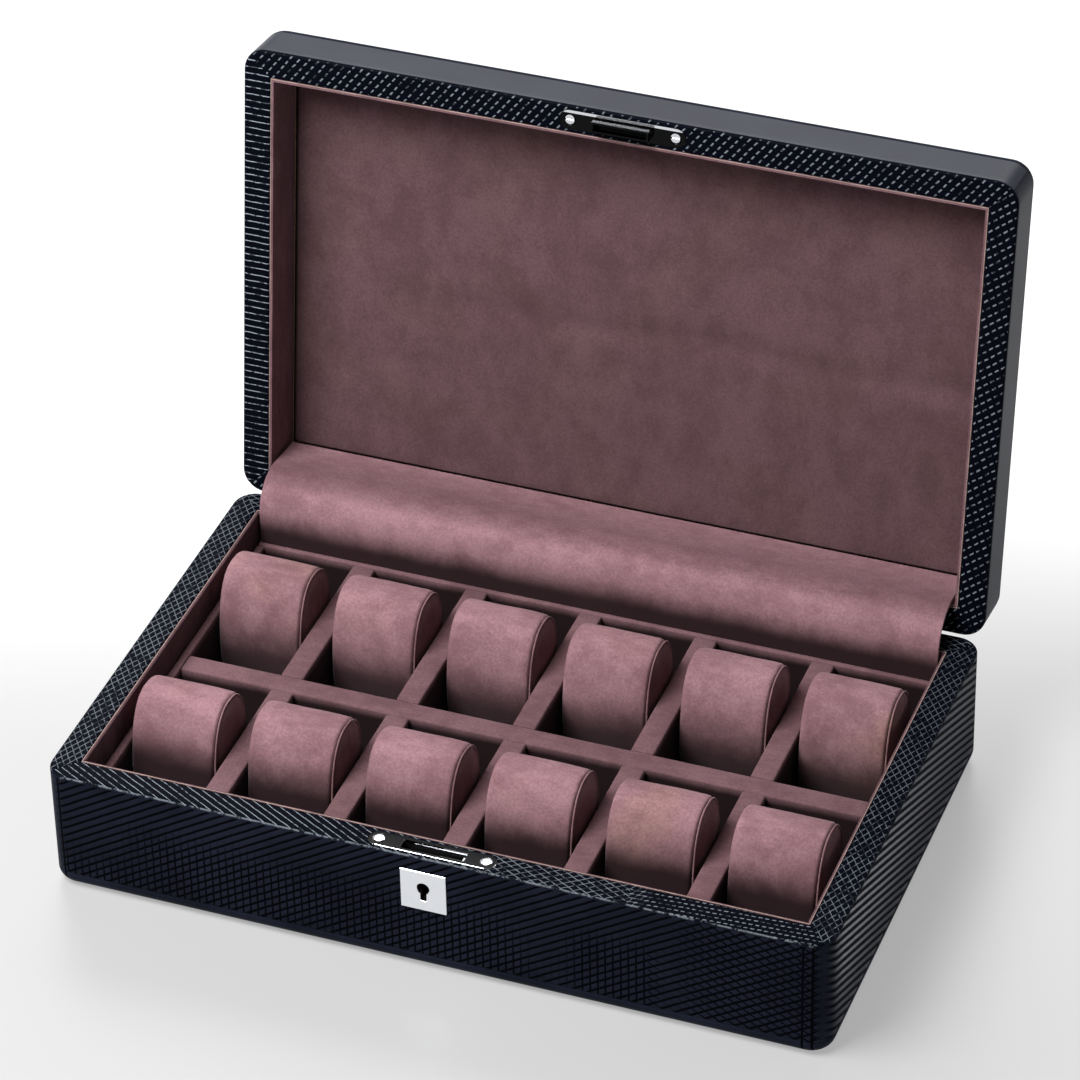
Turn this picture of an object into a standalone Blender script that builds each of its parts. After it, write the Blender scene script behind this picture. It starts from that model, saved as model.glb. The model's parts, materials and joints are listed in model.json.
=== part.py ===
"""Lockable storage box for twelve watches.

A leather-wrapped wooden case with a hinged lid that stands open on its stop, a suede-lined
tray of twelve compartments, a lift-out cushion in each one, a mortise lock and two hinges
under a suede gusset.  Metres, +Z up, -Y is the front with the lock.  The origin is the centre
of the underside.  Lid pieces are modelled closed, in a frame on the hinge axis, and an empty
there turns them open.
"""
import math

import bmesh
import bpy
from mathutils import Matrix, Vector

# Outside of the case
WIDTH = 0.340
DEPTH = 0.2116
BASE_HEIGHT = 0.0586
LID_HEIGHT = 0.0298
LID_OPEN_ANGLE = math.radians(97.8)
RIM_GAP = 0.0005
PLAN_CORNER_RADIUS = 0.010
BASE_EDGE_RADIUS = 0.006
LID_EDGE_RADIUS = 0.008
RIM_EDGE_RADIUS = 0.0013
CORNER_SEGMENTS = 4
RIM_EDGE_SEGMENTS = 2

# Layers of a wall, counted inwards from the outside
FIT_GAP = 0.0003
LEATHER = 0.0014
LEATHER_INNER_EDGE = 0.0120
LINING = 0.0013
WOOD_START = LEATHER + FIT_GAP
LINING_START = LEATHER_INNER_EDGE + FIT_GAP
WALL = LINING_START + LINING
LINING_SETBACK = 0.0002

# Base floor and underside
UNDERSIDE_COVER = 0.0017
UNDERSIDE_WINDOW = 0.0140
FLOOR_BOARD = 0.004
FELT_EDGE = 0.0003

# Tray
TRAY_FLOOR = 0.0015
TRAY_DROP = 0.0144
SIDE_RAIL = 0.0035
END_RAIL = 0.0042
DIVIDER = 0.0102
COLUMNS = 6
COLUMN_PITCH = 0.0526
LONG_DIVIDER_Y = -0.0005

# Cushions
CUSHION_WIDTH = 0.0404
CUSHION_DEPTH = 0.0340
CUSHION_HEIGHT = 0.0570
CUSHION_POWER = 2.5
CUSHION_LEAN = math.radians(6.0)
CUSHION_SETBACK = 0.0022
CUSHION_SEGMENTS = 24
CUSHION_EDGE = 0.002
CUSHION_EDGE_SEGMENTS = 2

# Lid inside
TOP_BOARD = 0.0032
PAD = 0.0020
PAD_EDGE = 0.0007

# Hinges
HINGE_X = 0.095
HINGE_LENGTH = 0.040
KNUCKLE_RADIUS = 0.0022
KNUCKLE_CLEARANCE = 0.0025
KNUCKLE_SPLIT = 0.010
LEAF_DEPTH = 0.0115
LEAF_THICKNESS = 0.0010
LEAF_OFFSET = 0.0004
PIN_RADIUS = 0.0009
KNUCKLE_SEGMENTS = 24

# Gusset over the hinges
GUSSET_RADIUS = 0.0155
GUSSET_THICKNESS = 0.0016
GUSSET_TOP = 0.0212
GUSSET_END_GAP = 0.0015
GUSSET_ARC_STEPS = 14

# Lock
LOCK_Y = -DEPTH / 2 + 0.0063
PLATE_LENGTH = 0.0550
PLATE_WIDTH = 0.0084
PLATE_THICKNESS = 0.0012
PLATE_PROUD = 0.0001
PLATE_END_SHARE = 0.96
PLATE_END_SEGMENTS = 6
SCREW_X = 0.0232
LUG_LENGTH = 0.0250
LUG_WIDTH = 0.0046
LUG_WALL = 0.0008
LUG_REACH = 0.0040
LUG_WINDOW = 0.0028
LUG_WINDOW_END = 0.0006
BOLT_SLOT_END = 0.0006
BOLT_SLOT_TRAVEL = 0.0013
LOCK_CASE_LENGTH = 0.0400
LOCK_CASE_WIDTH = 0.0072
LOCK_CASE_HEIGHT = 0.0240
LOCK_CASE_WALL = 0.0008
KEYHOLE_X = -0.0020
KEYHOLE_DROP = 0.0157
KEYHOLE_RADIUS = 0.0027
KEYHOLE_SLOT = 0.0026
KEYHOLE_LENGTH = 0.0062
KEYHOLE_DEPTH = 0.0063
ESCUTCHEON = 0.0198
ESCUTCHEON_DROP = 0.0171
ESCUTCHEON_THICKNESS = 0.0009
ESCUTCHEON_PROUD = 0.0005
KEY_PIN_RADIUS = 0.0008

# Bolt: an arm with a hooked nose at its end and a tail with a talon for the key.  Drops are
# measured down from the rim.
BOLT_THICKNESS = 0.0022
BOLT_NOSE_LENGTH = 0.0055
BOLT_NOSE_HEIGHT = 0.0012
BOLT_RISER_LENGTH = 0.0020
BOLT_RISER_DROP = 0.0050
BOLT_ARM_START = 0.0024
BOLT_ARM_WIDTH = 0.0036
BOLT_ARM_TOP_DROP = 0.0038
BOLT_ARM_LOW_DROP = 0.0053
BOLT_TAIL_START = -0.0100
BOLT_TAIL_END = 0.0120
BOLT_TAIL_TOP_DROP = 0.0048
BOLT_TAIL_LOW_DROP = 0.0115
TALON_WIDTH = 0.0040
TALON_DEPTH = 0.0060
TALON_TOP_DROP = 0.0085
TALON_LOW_DROP = 0.0150

# Screws of the lock and the strike
SCREW_HEAD_RADIUS = 0.0021
SCREW_HEAD_HEIGHT = 0.0011
SCREW_RADIUS = 0.0010
SCREW_LENGTH = 0.0090
SCREW_POINT = 0.0015
SCREW_STEPS = 20
SCREW_MERGE = 0.00001
SCREW_SLOT_WIDTH = 0.0006
SCREW_SLOT_DEPTH = 0.0005
COUNTERSINK_RADIUS = 0.0031
COUNTERSINK_LOW_RADIUS = 0.0015
COUNTERSINK_HEIGHT = 0.0016
COUNTERSINK_MIDDLE = 0.0004
PILOT_RADIUS = 0.0014
PILOT_LENGTH = 0.0110
PILOT_MIDDLE = 0.004

# Broken edges and round pieces
BOARD_EDGE = 0.0004
METAL_EDGE = 0.0002
ROUND_SEGMENTS = 20
FINE_ROUND_SEGMENTS = 16
SHARP_ANGLE = 35.0

# Derived places
RIM_Z = BASE_HEIGHT
HINGE_Z = RIM_Z + RIM_GAP / 2
LID_RIM = RIM_GAP / 2
HALF_W = WIDTH / 2
HALF_D = DEPTH / 2
FLOOR_BOARD_Z = UNDERSIDE_COVER + FIT_GAP
TRAY_FLOOR_Z = FLOOR_BOARD_Z + FLOOR_BOARD + FIT_GAP
TRAY_Z = TRAY_FLOOR_Z + TRAY_FLOOR + FIT_GAP
TRAY_TOP_Z = RIM_Z - TRAY_DROP
INNER_X = HALF_W - WALL
INNER_Y = HALF_D - WALL
CELL_END_X = INNER_X - FIT_GAP - SIDE_RAIL
CELL_END_Y = INNER_Y - FIT_GAP - END_RAIL
BEYOND = 0.004

PARTS = "watch_storage_box"
CUTTERS = "watch_storage_box_cutters"


def clear_scene():
    for old in list(bpy.data.objects):
        bpy.data.objects.remove(old, do_unlink=True)


def make_collection(name):
    collection = bpy.data.collections.new(name)
    bpy.context.scene.collection.children.link(collection)
    return collection


def material(name, colour, roughness, metallic=0.0):
    made = bpy.data.materials.new(name)
    made.use_nodes = True
    shader = made.node_tree.nodes["Principled BSDF"]
    shader.inputs["Base Color"].default_value = (*colour, 1.0)
    shader.inputs["Roughness"].default_value = roughness
    shader.inputs["Metallic"].default_value = metallic
    return made


def add_object(name, bm, finish, parent=None):
    """Turn a bmesh into a named part, or into a cutter when it has no finish."""
    mesh = bpy.data.meshes.new(name)
    bm.to_mesh(mesh)
    bm.free()
    obj = bpy.data.objects.new(name, mesh)
    obj.parent = parent
    if finish is None:
        bpy.data.collections[CUTTERS].objects.link(obj)
        obj.hide_render = True
        obj.display_type = "WIRE"
    else:
        bpy.data.collections[PARTS].objects.link(obj)
        mesh.materials.append(finish)
    return obj


def block(low, high):
    """A box between two corners."""
    low, high = Vector(low), Vector(high)
    bm = bmesh.new()
    size = Matrix.Diagonal((*(high - low), 1.0))
    bmesh.ops.create_cube(bm, size=1.0, matrix=Matrix.Translation((low + high) / 2) @ size)
    return bm


def round_upright_edges(bm, radius, segments):
    upright = [e for e in bm.edges if abs((e.verts[0].co - e.verts[1].co).normalized().z) > 0.99]
    bmesh.ops.bevel(bm, geom=upright, offset=radius, segments=segments, profile=0.5, affect="EDGES")


def round_level_edges(bm, z, radius, segments):
    level = [e for e in bm.edges if all(abs(v.co.z - z) < 1e-6 for v in e.verts)]
    bmesh.ops.bevel(bm, geom=level, offset=radius, segments=segments, profile=0.5, affect="EDGES")


def rod(centre, radius, length, axis, segments=ROUND_SEGMENTS, radius_2=None):
    """A cylinder, or a cone when radius_2 differs, centred on a point and lying along X, Y or Z."""
    turn = {"X": Matrix.Rotation(math.pi / 2, 4, "Y"),
            "Y": Matrix.Rotation(-math.pi / 2, 4, "X"),
            "Z": Matrix.Identity(4)}[axis]
    bm = bmesh.new()
    bmesh.ops.create_cone(bm, cap_ends=True, segments=segments, radius1=radius,
                          radius2=radius if radius_2 is None else radius_2, depth=length,
                          matrix=Matrix.Translation(centre) @ turn)
    return bm


def boolean(obj, other, operation):
    step = obj.modifiers.new(f"{operation.lower()}_{other.name}", "BOOLEAN")
    step.operation = operation
    step.solver = "EXACT"
    step.object = other


def cut(obj, *cutters):
    for cutter in cutters:
        boolean(obj, cutter, "DIFFERENCE")


def join(obj, *extras):
    for extra in extras:
        boolean(obj, extra, "UNION")


def soften(obj, width, segments=1):
    step = obj.modifiers.new("soft_edges", "BEVEL")
    step.width = width
    step.segments = segments
    step.limit_method = "ANGLE"
    step.angle_limit = math.radians(SHARP_ANGLE)


def shade_round(obj):
    obj.data.shade_smooth()
    obj.data.set_sharp_from_angle(angle=math.radians(SHARP_ANGLE))


def board(name, low, high, finish, parent=None, edge=BOARD_EDGE):
    """A plain rectangular piece with lightly broken edges."""
    piece = add_object(name, block(low, high), finish, parent)
    soften(piece, edge)
    return piece


class Shell:
    """One half of the case: its leather wrap and its four wall boards.

    rim_z is the open rim and far_z the closed face, so far_z is below rim_z on the base and
    above it on the lid.  middle_y is the middle of the half, front to back.
    """

    def __init__(self, label, rim_z, far_z, far_radius, middle_y, parent=None):
        self.label = label
        self.rim_z = rim_z
        self.far_z = far_z
        self.inward = math.copysign(1.0, far_z - rim_z)
        self.far_radius = far_radius
        self.middle_y = middle_y
        self.parent = parent

    def span(self, inset, rim_inset, far_inset):
        """Corners of the half's box, drawn in by an inset at the sides, the rim and the far face."""
        rim = self.rim_z + self.inward * rim_inset
        far = self.far_z - self.inward * far_inset
        low = (-HALF_W + inset, self.middle_y - HALF_D + inset, min(rim, far))
        high = (HALF_W - inset, self.middle_y + HALF_D - inset, max(rim, far))
        return low, high

    def rounded(self, inset):
        """The half's outside, drawn in evenly all round, with rounded corners and far edges."""
        bm = block(*self.span(inset, inset, inset))
        round_upright_edges(bm, PLAN_CORNER_RADIUS - inset, CORNER_SEGMENTS)
        far_z = self.far_z - self.inward * inset
        round_level_edges(bm, far_z, self.far_radius - inset, CORNER_SEGMENTS)
        return bm

    def leather_wrap(self, leather, open_far_face):
        bm = self.rounded(0.0)
        round_level_edges(bm, self.rim_z, RIM_EDGE_RADIUS, RIM_EDGE_SEGMENTS)
        wrap = add_object(f"{self.label}_leather_wrap", bm, leather, self.parent)
        core = add_object(f"{self.label}_wrap_core", self.rounded(LEATHER), None, self.parent)
        mouth = add_object(f"{self.label}_wrap_mouth",
                           block(*self.span(LEATHER_INNER_EDGE, -BEYOND, BEYOND * 2)), None, self.parent)
        cut(wrap, core, mouth)
        if open_far_face:
            window = block(*self.span(UNDERSIDE_WINDOW, BEYOND * 2, -BEYOND))
            cut(wrap, add_object(f"{self.label}_wrap_window", window, None, self.parent))
        return wrap

    def wall_boards(self, wood):
        """Front and back boards run full width, and the side boards stand between them."""
        envelope = add_object(f"{self.label}_wood_envelope", self.rounded(WOOD_START), None, self.parent)
        low, high = self.span(WOOD_START, WOOD_START, WOOD_START)
        inner = WOOD_START - LEATHER_INNER_EDGE
        boards = {}
        for side, sign in (("front", -1), ("back", 1)):
            outer = low[1] if sign < 0 else high[1]
            ys = sorted((outer, outer + sign * inner))
            bm = block((low[0], ys[0], low[2]), (high[0], ys[1], high[2]))
            boards[side] = add_object(f"{self.label}_{side}_board", bm, wood, self.parent)
        end = LEATHER_INNER_EDGE + FIT_GAP - WOOD_START
        for side, sign in (("left", -1), ("right", 1)):
            outer = low[0] if sign < 0 else high[0]
            xs = sorted((outer, outer + sign * inner))
            bm = block((xs[0], low[1] + end, low[2]), (xs[1], high[1] - end, high[2]))
            boards[side] = add_object(f"{self.label}_{side}_board", bm, wood, self.parent)
        for piece in boards.values():
            boolean(piece, envelope, "INTERSECT")
        return boards


def lid_frame():
    """An empty on the hinge axis that turns the closed lid open."""
    pivot = bpy.data.objects.new("lid_pivot", None)
    bpy.data.collections[PARTS].objects.link(pivot)
    pivot.location = (0.0, HALF_D, HINGE_Z)
    pivot.rotation_euler = (-LID_OPEN_ANGLE, 0.0, 0.0)
    return pivot


def base_floor(wood, felt, suede):
    edge_x = HALF_W - LINING_START
    edge_y = HALF_D - LINING_START
    cover_x = HALF_W - UNDERSIDE_WINDOW - FIT_GAP
    cover_y = HALF_D - UNDERSIDE_WINDOW - FIT_GAP
    board("base_underside_cover", (-cover_x, -cover_y, 0.0), (cover_x, cover_y, UNDERSIDE_COVER), felt,
          edge=FELT_EDGE)
    board("base_floor_board", (-edge_x, -edge_y, FLOOR_BOARD_Z),
          (edge_x, edge_y, FLOOR_BOARD_Z + FLOOR_BOARD), wood)
    floor_x = INNER_X - FIT_GAP
    floor_y = INNER_Y - FIT_GAP
    board("tray_floor", (-floor_x, -floor_y, TRAY_FLOOR_Z),
          (floor_x, floor_y, TRAY_FLOOR_Z + TRAY_FLOOR), suede)


def base_linings(suede):
    """Front and back linings run full width, and the side linings stand between them."""
    low_z = TRAY_FLOOR_Z
    high_z = RIM_Z - LINING_SETBACK
    outer_x = HALF_W - LINING_START
    outer_y = HALF_D - LINING_START
    board("base_front_lining", (-outer_x, -outer_y, low_z), (outer_x, -INNER_Y, high_z), suede)
    board("base_back_lining", (-outer_x, INNER_Y, low_z), (outer_x, outer_y, high_z), suede)
    side_y = INNER_Y - FIT_GAP
    board("base_left_lining", (-outer_x, -side_y, low_z), (-INNER_X, side_y, high_z), suede)
    board("base_right_lining", (INNER_X, -side_y, low_z), (outer_x, side_y, high_z), suede)


def tray(suede):
    rail_x = INNER_X - FIT_GAP
    rail_y = INNER_Y - FIT_GAP
    board("tray_front_rail", (-rail_x, -rail_y, TRAY_Z), (rail_x, -CELL_END_Y, TRAY_TOP_Z), suede)
    board("tray_back_rail", (-rail_x, CELL_END_Y, TRAY_Z), (rail_x, rail_y, TRAY_TOP_Z), suede)
    side_y = CELL_END_Y - FIT_GAP
    board("tray_left_rail", (-rail_x, -side_y, TRAY_Z), (-CELL_END_X, side_y, TRAY_TOP_Z), suede)
    board("tray_right_rail", (CELL_END_X, -side_y, TRAY_Z), (rail_x, side_y, TRAY_TOP_Z), suede)

    half = DIVIDER / 2
    lap_z = (TRAY_Z + TRAY_TOP_Z) / 2
    long_low = (-CELL_END_X + FIT_GAP, LONG_DIVIDER_Y - half, TRAY_Z)
    long_high = (CELL_END_X - FIT_GAP, LONG_DIVIDER_Y + half, TRAY_TOP_Z)
    long_divider = add_object("tray_long_divider", block(long_low, long_high), suede)
    lap = half + FIT_GAP
    cross_notch = add_object("cross_divider_notch",
                             block((-HALF_W, LONG_DIVIDER_Y - lap, lap_z - FIT_GAP),
                                   (HALF_W, LONG_DIVIDER_Y + lap, TRAY_TOP_Z + BEYOND)), None)
    for column in range(1, COLUMNS):
        x = (column - COLUMNS / 2) * COLUMN_PITCH
        notch = block((x - lap, -HALF_D, TRAY_Z - BEYOND), (x + lap, HALF_D, lap_z))
        cut(long_divider, add_object(f"long_divider_notch_{column}", notch, None))
        cross = add_object(f"tray_cross_divider_{column}",
                           block((x - half, -side_y, TRAY_Z), (x + half, side_y, TRAY_TOP_Z)), suede)
        cut(cross, cross_notch)
        soften(cross, BOARD_EDGE)
    soften(long_divider, BOARD_EDGE)


def superellipse(angle, half_width, half_height, power):
    """A point on a rounded oblong that fills its corners more than an ellipse does."""
    c, s = math.cos(angle), math.sin(angle)
    across = math.copysign(abs(c) ** (2 / power), c) * half_width
    up = math.copysign(abs(s) ** (2 / power), s) * half_height
    return across, up


def cushion_shape():
    """A short pillow along X with a rounded oblong end, leaning back a little."""
    bm = rod((0.0, 0.0, 0.0), 1.0, CUSHION_WIDTH, "X", CUSHION_SEGMENTS)
    for vert in bm.verts:
        angle = math.atan2(vert.co.z, vert.co.y)
        vert.co.y, vert.co.z = superellipse(angle, CUSHION_DEPTH / 2, CUSHION_HEIGHT / 2, CUSHION_POWER)
    bmesh.ops.rotate(bm, verts=bm.verts, cent=(0, 0, 0), matrix=Matrix.Rotation(-CUSHION_LEAN, 3, "X"))
    return bm


def cushions(suede):
    """Twelve lift-out cushions, each with its origin at its own middle."""
    half = DIVIDER / 2
    rows = {"front": (-CELL_END_Y + LONG_DIVIDER_Y - half) / 2,
            "rear": (CELL_END_Y + LONG_DIVIDER_Y + half) / 2}
    for row, cell_y in rows.items():
        for column in range(COLUMNS):
            cushion = add_object(f"cushion_{row}_{column + 1}", cushion_shape(), suede)
            lowest = min(vert.co.z for vert in cushion.data.vertices)
            cushion.location = ((column - (COLUMNS - 1) / 2) * COLUMN_PITCH,
                                cell_y + CUSHION_SETBACK, TRAY_Z - lowest)
            soften(cushion, CUSHION_EDGE, CUSHION_EDGE_SEGMENTS)
            shade_round(cushion)


def rounded_plate(low, high):
    """A plate with half-round ends."""
    bm = block(low, high)
    round_upright_edges(bm, (high[1] - low[1]) / 2 * PLATE_END_SHARE, PLATE_END_SEGMENTS)
    return bm


def countersunk_screw(name, x, y, face_z, into, steel, parent=None):
    """A turned screw with its head flush with face_z, pointing along into (-1 down, 1 up)."""
    outline = [(0.0, 0.0), (SCREW_HEAD_RADIUS, 0.0), (SCREW_RADIUS, SCREW_HEAD_HEIGHT),
               (SCREW_RADIUS, SCREW_LENGTH - SCREW_POINT), (0.0, SCREW_LENGTH)]
    bm = bmesh.new()
    verts = [bm.verts.new((radius, 0.0, -depth)) for radius, depth in outline]
    for first, second in zip(verts, verts[1:]):
        bm.edges.new((first, second))
    screw = add_object(name, bm, steel, parent)
    screw.location = (x, y, face_z)
    screw.rotation_euler = (0.0 if into < 0 else math.pi, 0.0, 0.0)
    turn = screw.modifiers.new("turned", "SCREW")
    turn.steps = SCREW_STEPS
    turn.render_steps = SCREW_STEPS
    turn.use_merge_vertices = True
    turn.merge_threshold = SCREW_MERGE
    half_slot = SCREW_SLOT_WIDTH / 2
    slot = add_object(f"{name}_slot", block((-BEYOND, -half_slot, -SCREW_SLOT_DEPTH),
                                            (BEYOND, half_slot, BEYOND)), None, parent)
    slot.location = screw.location
    slot.rotation_euler = screw.rotation_euler
    cut(screw, slot)
    shade_round(screw)
    return screw


def screw_holes(label, x, y, face_z, into, parent=None):
    """Cutters for a countersunk hole in a plate and for the pilot hole in the wood under it."""
    middle = (x, y, face_z + into * COUNTERSINK_MIDDLE)
    cone = rod(middle, COUNTERSINK_RADIUS, COUNTERSINK_HEIGHT, "Z", radius_2=COUNTERSINK_LOW_RADIUS)
    if into < 0:
        bmesh.ops.rotate(cone, verts=cone.verts, cent=middle, matrix=Matrix.Rotation(math.pi, 3, "X"))
    shank = rod((x, y, face_z + into * PILOT_MIDDLE), PILOT_RADIUS, PILOT_LENGTH, "Z",
                FINE_ROUND_SEGMENTS)
    return (add_object(f"{label}_countersink", cone, None, parent),
            add_object(f"{label}_pilot", shank, None, parent))


def keyhole_cutters(label, reach_front, reach_back):
    """A round hole with a slot below it, cut along Y between two depths from the front face."""
    z = RIM_Z - KEYHOLE_DROP
    near, far = -HALF_D - reach_front, -HALF_D + reach_back
    hole = rod((KEYHOLE_X, (near + far) / 2, z), KEYHOLE_RADIUS, far - near, "Y")
    slot = block((KEYHOLE_X - KEYHOLE_SLOT / 2, near, z - KEYHOLE_LENGTH),
                 (KEYHOLE_X + KEYHOLE_SLOT / 2, far, z))
    return add_object(f"{label}_hole", hole, None), add_object(f"{label}_slot", slot, None)


def lock(wrap, front_board, chrome, steel):
    """Face plate, case, bolt, key pin and escutcheon, let into the front wall of the base."""
    plate_top = RIM_Z + PLATE_PROUD
    plate_low = plate_top - PLATE_THICKNESS
    half_l, half_w = PLATE_LENGTH / 2, PLATE_WIDTH / 2
    plate = add_object("lock_face_plate",
                       rounded_plate((-half_l, LOCK_Y - half_w, plate_low),
                                     (half_l, LOCK_Y + half_w, plate_top)), chrome)
    pocket = rounded_plate((-half_l - FIT_GAP, LOCK_Y - half_w - FIT_GAP, RIM_Z - LEATHER - BEYOND),
                           (half_l + FIT_GAP, LOCK_Y + half_w + FIT_GAP, RIM_Z + BEYOND))
    cut(wrap, add_object("lock_plate_pocket", pocket, None))

    slot_half = LUG_WIDTH / 2 + FIT_GAP
    nose_tip = LUG_LENGTH / 2 + BOLT_SLOT_END
    slot = block((-nose_tip, LOCK_Y - slot_half, plate_low - BEYOND),
                 (nose_tip + BOLT_SLOT_TRAVEL, LOCK_Y + slot_half, plate_top + BEYOND))
    cut(plate, add_object("lock_plate_slot", slot, None))
    for side, sign in (("left", -1), ("right", 1)):
        x = sign * SCREW_X
        countersunk_screw(f"lock_face_screw_{side}", x, LOCK_Y, plate_top, -1, steel)
        countersink, pilot = screw_holes(f"lock_face_screw_{side}", x, LOCK_Y, plate_top, -1)
        cut(plate, countersink, pilot)
        cut(front_board, pilot)
    soften(plate, METAL_EDGE)

    case_top = plate_low - FIT_GAP
    half_l, half_w = LOCK_CASE_LENGTH / 2, LOCK_CASE_WIDTH / 2
    case_low = (-half_l, LOCK_Y - half_w, case_top - LOCK_CASE_HEIGHT)
    case_high = (half_l, LOCK_Y + half_w, case_top)
    case = add_object("lock_case", block(case_low, case_high), steel)
    inside = block([c + LOCK_CASE_WALL for c in case_low],
                   (case_high[0] - LOCK_CASE_WALL, case_high[1] - LOCK_CASE_WALL, case_top + BEYOND))
    hole, key_slot = keyhole_cutters("lock_case_keyhole", BEYOND, KEYHOLE_DEPTH)
    cut(case, add_object("lock_case_inside", inside, None), hole, key_slot)
    mortise = block([c - FIT_GAP for c in case_low],
                    (case_high[0] + FIT_GAP, case_high[1] + FIT_GAP, RIM_Z + BEYOND))
    hole, key_slot = keyhole_cutters("front_keyhole", BEYOND, KEYHOLE_DEPTH)
    cut(front_board, add_object("lock_mortise", mortise, None), hole, key_slot)
    cut(wrap, hole, key_slot)

    thin, arm_half = BOLT_THICKNESS / 2, BOLT_ARM_WIDTH / 2
    nose_end = nose_tip + BOLT_NOSE_LENGTH
    nose = block((nose_tip, LOCK_Y - thin, case_top - BOLT_NOSE_HEIGHT),
                 (nose_end, LOCK_Y + thin, case_top))
    riser = block((nose_end - BOLT_RISER_LENGTH, LOCK_Y - thin, RIM_Z - BOLT_RISER_DROP),
                  (nose_end, LOCK_Y + thin, case_top))
    arm = block((BOLT_ARM_START, LOCK_Y - arm_half, RIM_Z - BOLT_ARM_LOW_DROP),
                (nose_end, LOCK_Y + arm_half, RIM_Z - BOLT_ARM_TOP_DROP))
    tail = block((BOLT_TAIL_START, LOCK_Y - thin, RIM_Z - BOLT_TAIL_LOW_DROP),
                 (BOLT_TAIL_END, LOCK_Y + thin, RIM_Z - BOLT_TAIL_TOP_DROP))
    talon = block((KEYHOLE_X - TALON_WIDTH / 2, LOCK_Y - TALON_DEPTH / 2, RIM_Z - TALON_LOW_DROP),
                  (KEYHOLE_X + TALON_WIDTH / 2, LOCK_Y + TALON_DEPTH / 2, RIM_Z - TALON_TOP_DROP))
    bolt = add_object("lock_bolt", arm, steel)
    join(bolt, add_object("bolt_riser", riser, None), add_object("bolt_nose", nose, None),
         add_object("bolt_tail", tail, None))
    cut(bolt, add_object("bolt_talon", talon, None))

    pin_length = LOCK_CASE_WIDTH - 2 * LOCK_CASE_WALL - 2 * FIT_GAP
    pin = add_object("lock_key_pin", rod((KEYHOLE_X, LOCK_Y, RIM_Z - KEYHOLE_DROP), KEY_PIN_RADIUS,
                                         pin_length, "Y", FINE_ROUND_SEGMENTS), steel)
    shade_round(pin)

    half = ESCUTCHEON / 2
    z = RIM_Z - ESCUTCHEON_DROP
    front = -HALF_D - ESCUTCHEON_PROUD
    escutcheon = add_object("lock_escutcheon",
                            block((KEYHOLE_X - half, front, z - half),
                                  (KEYHOLE_X + half, front + ESCUTCHEON_THICKNESS, z + half)), chrome)
    hole, key_slot = keyhole_cutters("escutcheon_keyhole", BEYOND, BEYOND)
    cut(escutcheon, hole, key_slot)
    soften(escutcheon, METAL_EDGE)
    seat = half + FIT_GAP
    bed = block((KEYHOLE_X - seat, -HALF_D - BEYOND, z - seat),
                (KEYHOLE_X + seat, front + ESCUTCHEON_THICKNESS + FIT_GAP, z + seat))
    cut(wrap, add_object("escutcheon_bed", bed, None))


def strike(wrap, front_board, chrome, steel, pivot):
    """Strike plate with a hollow lug that the bolt enters, let into the front rim of the lid."""
    y = LOCK_Y - HALF_D
    face = LID_RIM - PLATE_PROUD
    half_l, half_w = PLATE_LENGTH / 2, PLATE_WIDTH / 2
    plate = add_object("strike_plate",
                       rounded_plate((-half_l, y - half_w, face),
                                     (half_l, y + half_w, face + PLATE_THICKNESS)), chrome, pivot)
    pocket = rounded_plate((-half_l - FIT_GAP, y - half_w - FIT_GAP, LID_RIM - BEYOND),
                           (half_l + FIT_GAP, y + half_w + FIT_GAP, LID_RIM + LEATHER + BEYOND))
    cut(wrap, add_object("strike_plate_pocket", pocket, None, pivot))

    lug_l, lug_w = LUG_LENGTH / 2, LUG_WIDTH / 2
    end = LID_RIM - LUG_REACH
    lug = block((-lug_l, y - lug_w, end), (lug_l, y + lug_w, face + PLATE_THICKNESS / 2))
    hollow = block((-lug_l + LUG_WALL, y - lug_w + LUG_WALL, end - BEYOND),
                   (lug_l - LUG_WALL, y + lug_w - LUG_WALL, face))
    window = block((lug_l - LUG_WALL * 2, y - LUG_WINDOW / 2, end + LUG_WINDOW_END),
                   (lug_l + LUG_WALL, y + LUG_WINDOW / 2, face))
    join(plate, add_object("strike_lug", lug, None, pivot))
    cut(plate, add_object("strike_lug_hollow", hollow, None, pivot),
        add_object("strike_lug_window", window, None, pivot))
    for side, sign in (("left", -1), ("right", 1)):
        x = sign * SCREW_X
        countersunk_screw(f"strike_screw_{side}", x, y, face, 1, steel, pivot)
        countersink, pilot = screw_holes(f"strike_screw_{side}", x, y, face, 1, pivot)
        cut(plate, countersink, pilot)
        cut(front_board, pilot)


def hinge_leaf(name, x, up, stations, clear_stations, steel, parent):
    """A leaf with its knuckles; up is -1 for the base leaf and 1 for the lid leaf.

    Places are given from the hinge axis.  stations are the stretches of X with a knuckle, and
    clear_stations the stretches left open for the other leaf's knuckles.
    """
    zs = sorted((up * LEAF_OFFSET, up * (LEAF_OFFSET + LEAF_THICKNESS)))
    half = HINGE_LENGTH / 2
    leaf = add_object(name, block((x - half, -LEAF_DEPTH, zs[0]), (x + half, 0.0, zs[1])), steel, parent)
    for count, (start, end) in enumerate(clear_stations):
        space = rod((x + (start + end) / 2, 0, 0), KNUCKLE_CLEARANCE, end - start, "X",
                    KNUCKLE_SEGMENTS)
        cut(leaf, add_object(f"{name}_space_{count}", space, None, parent))
    for count, (start, end) in enumerate(stations):
        knuckle = rod((x + (start + end) / 2, 0, 0), KNUCKLE_RADIUS, end - start, "X",
                      KNUCKLE_SEGMENTS)
        join(leaf, add_object(f"{name}_knuckle_{count}", knuckle, None, parent))
    bore = rod((x, 0, 0), PIN_RADIUS + FIT_GAP, HINGE_LENGTH + BEYOND, "X", FINE_ROUND_SEGMENTS)
    cut(leaf, add_object(f"{name}_bore", bore, None, parent))
    return leaf


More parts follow.
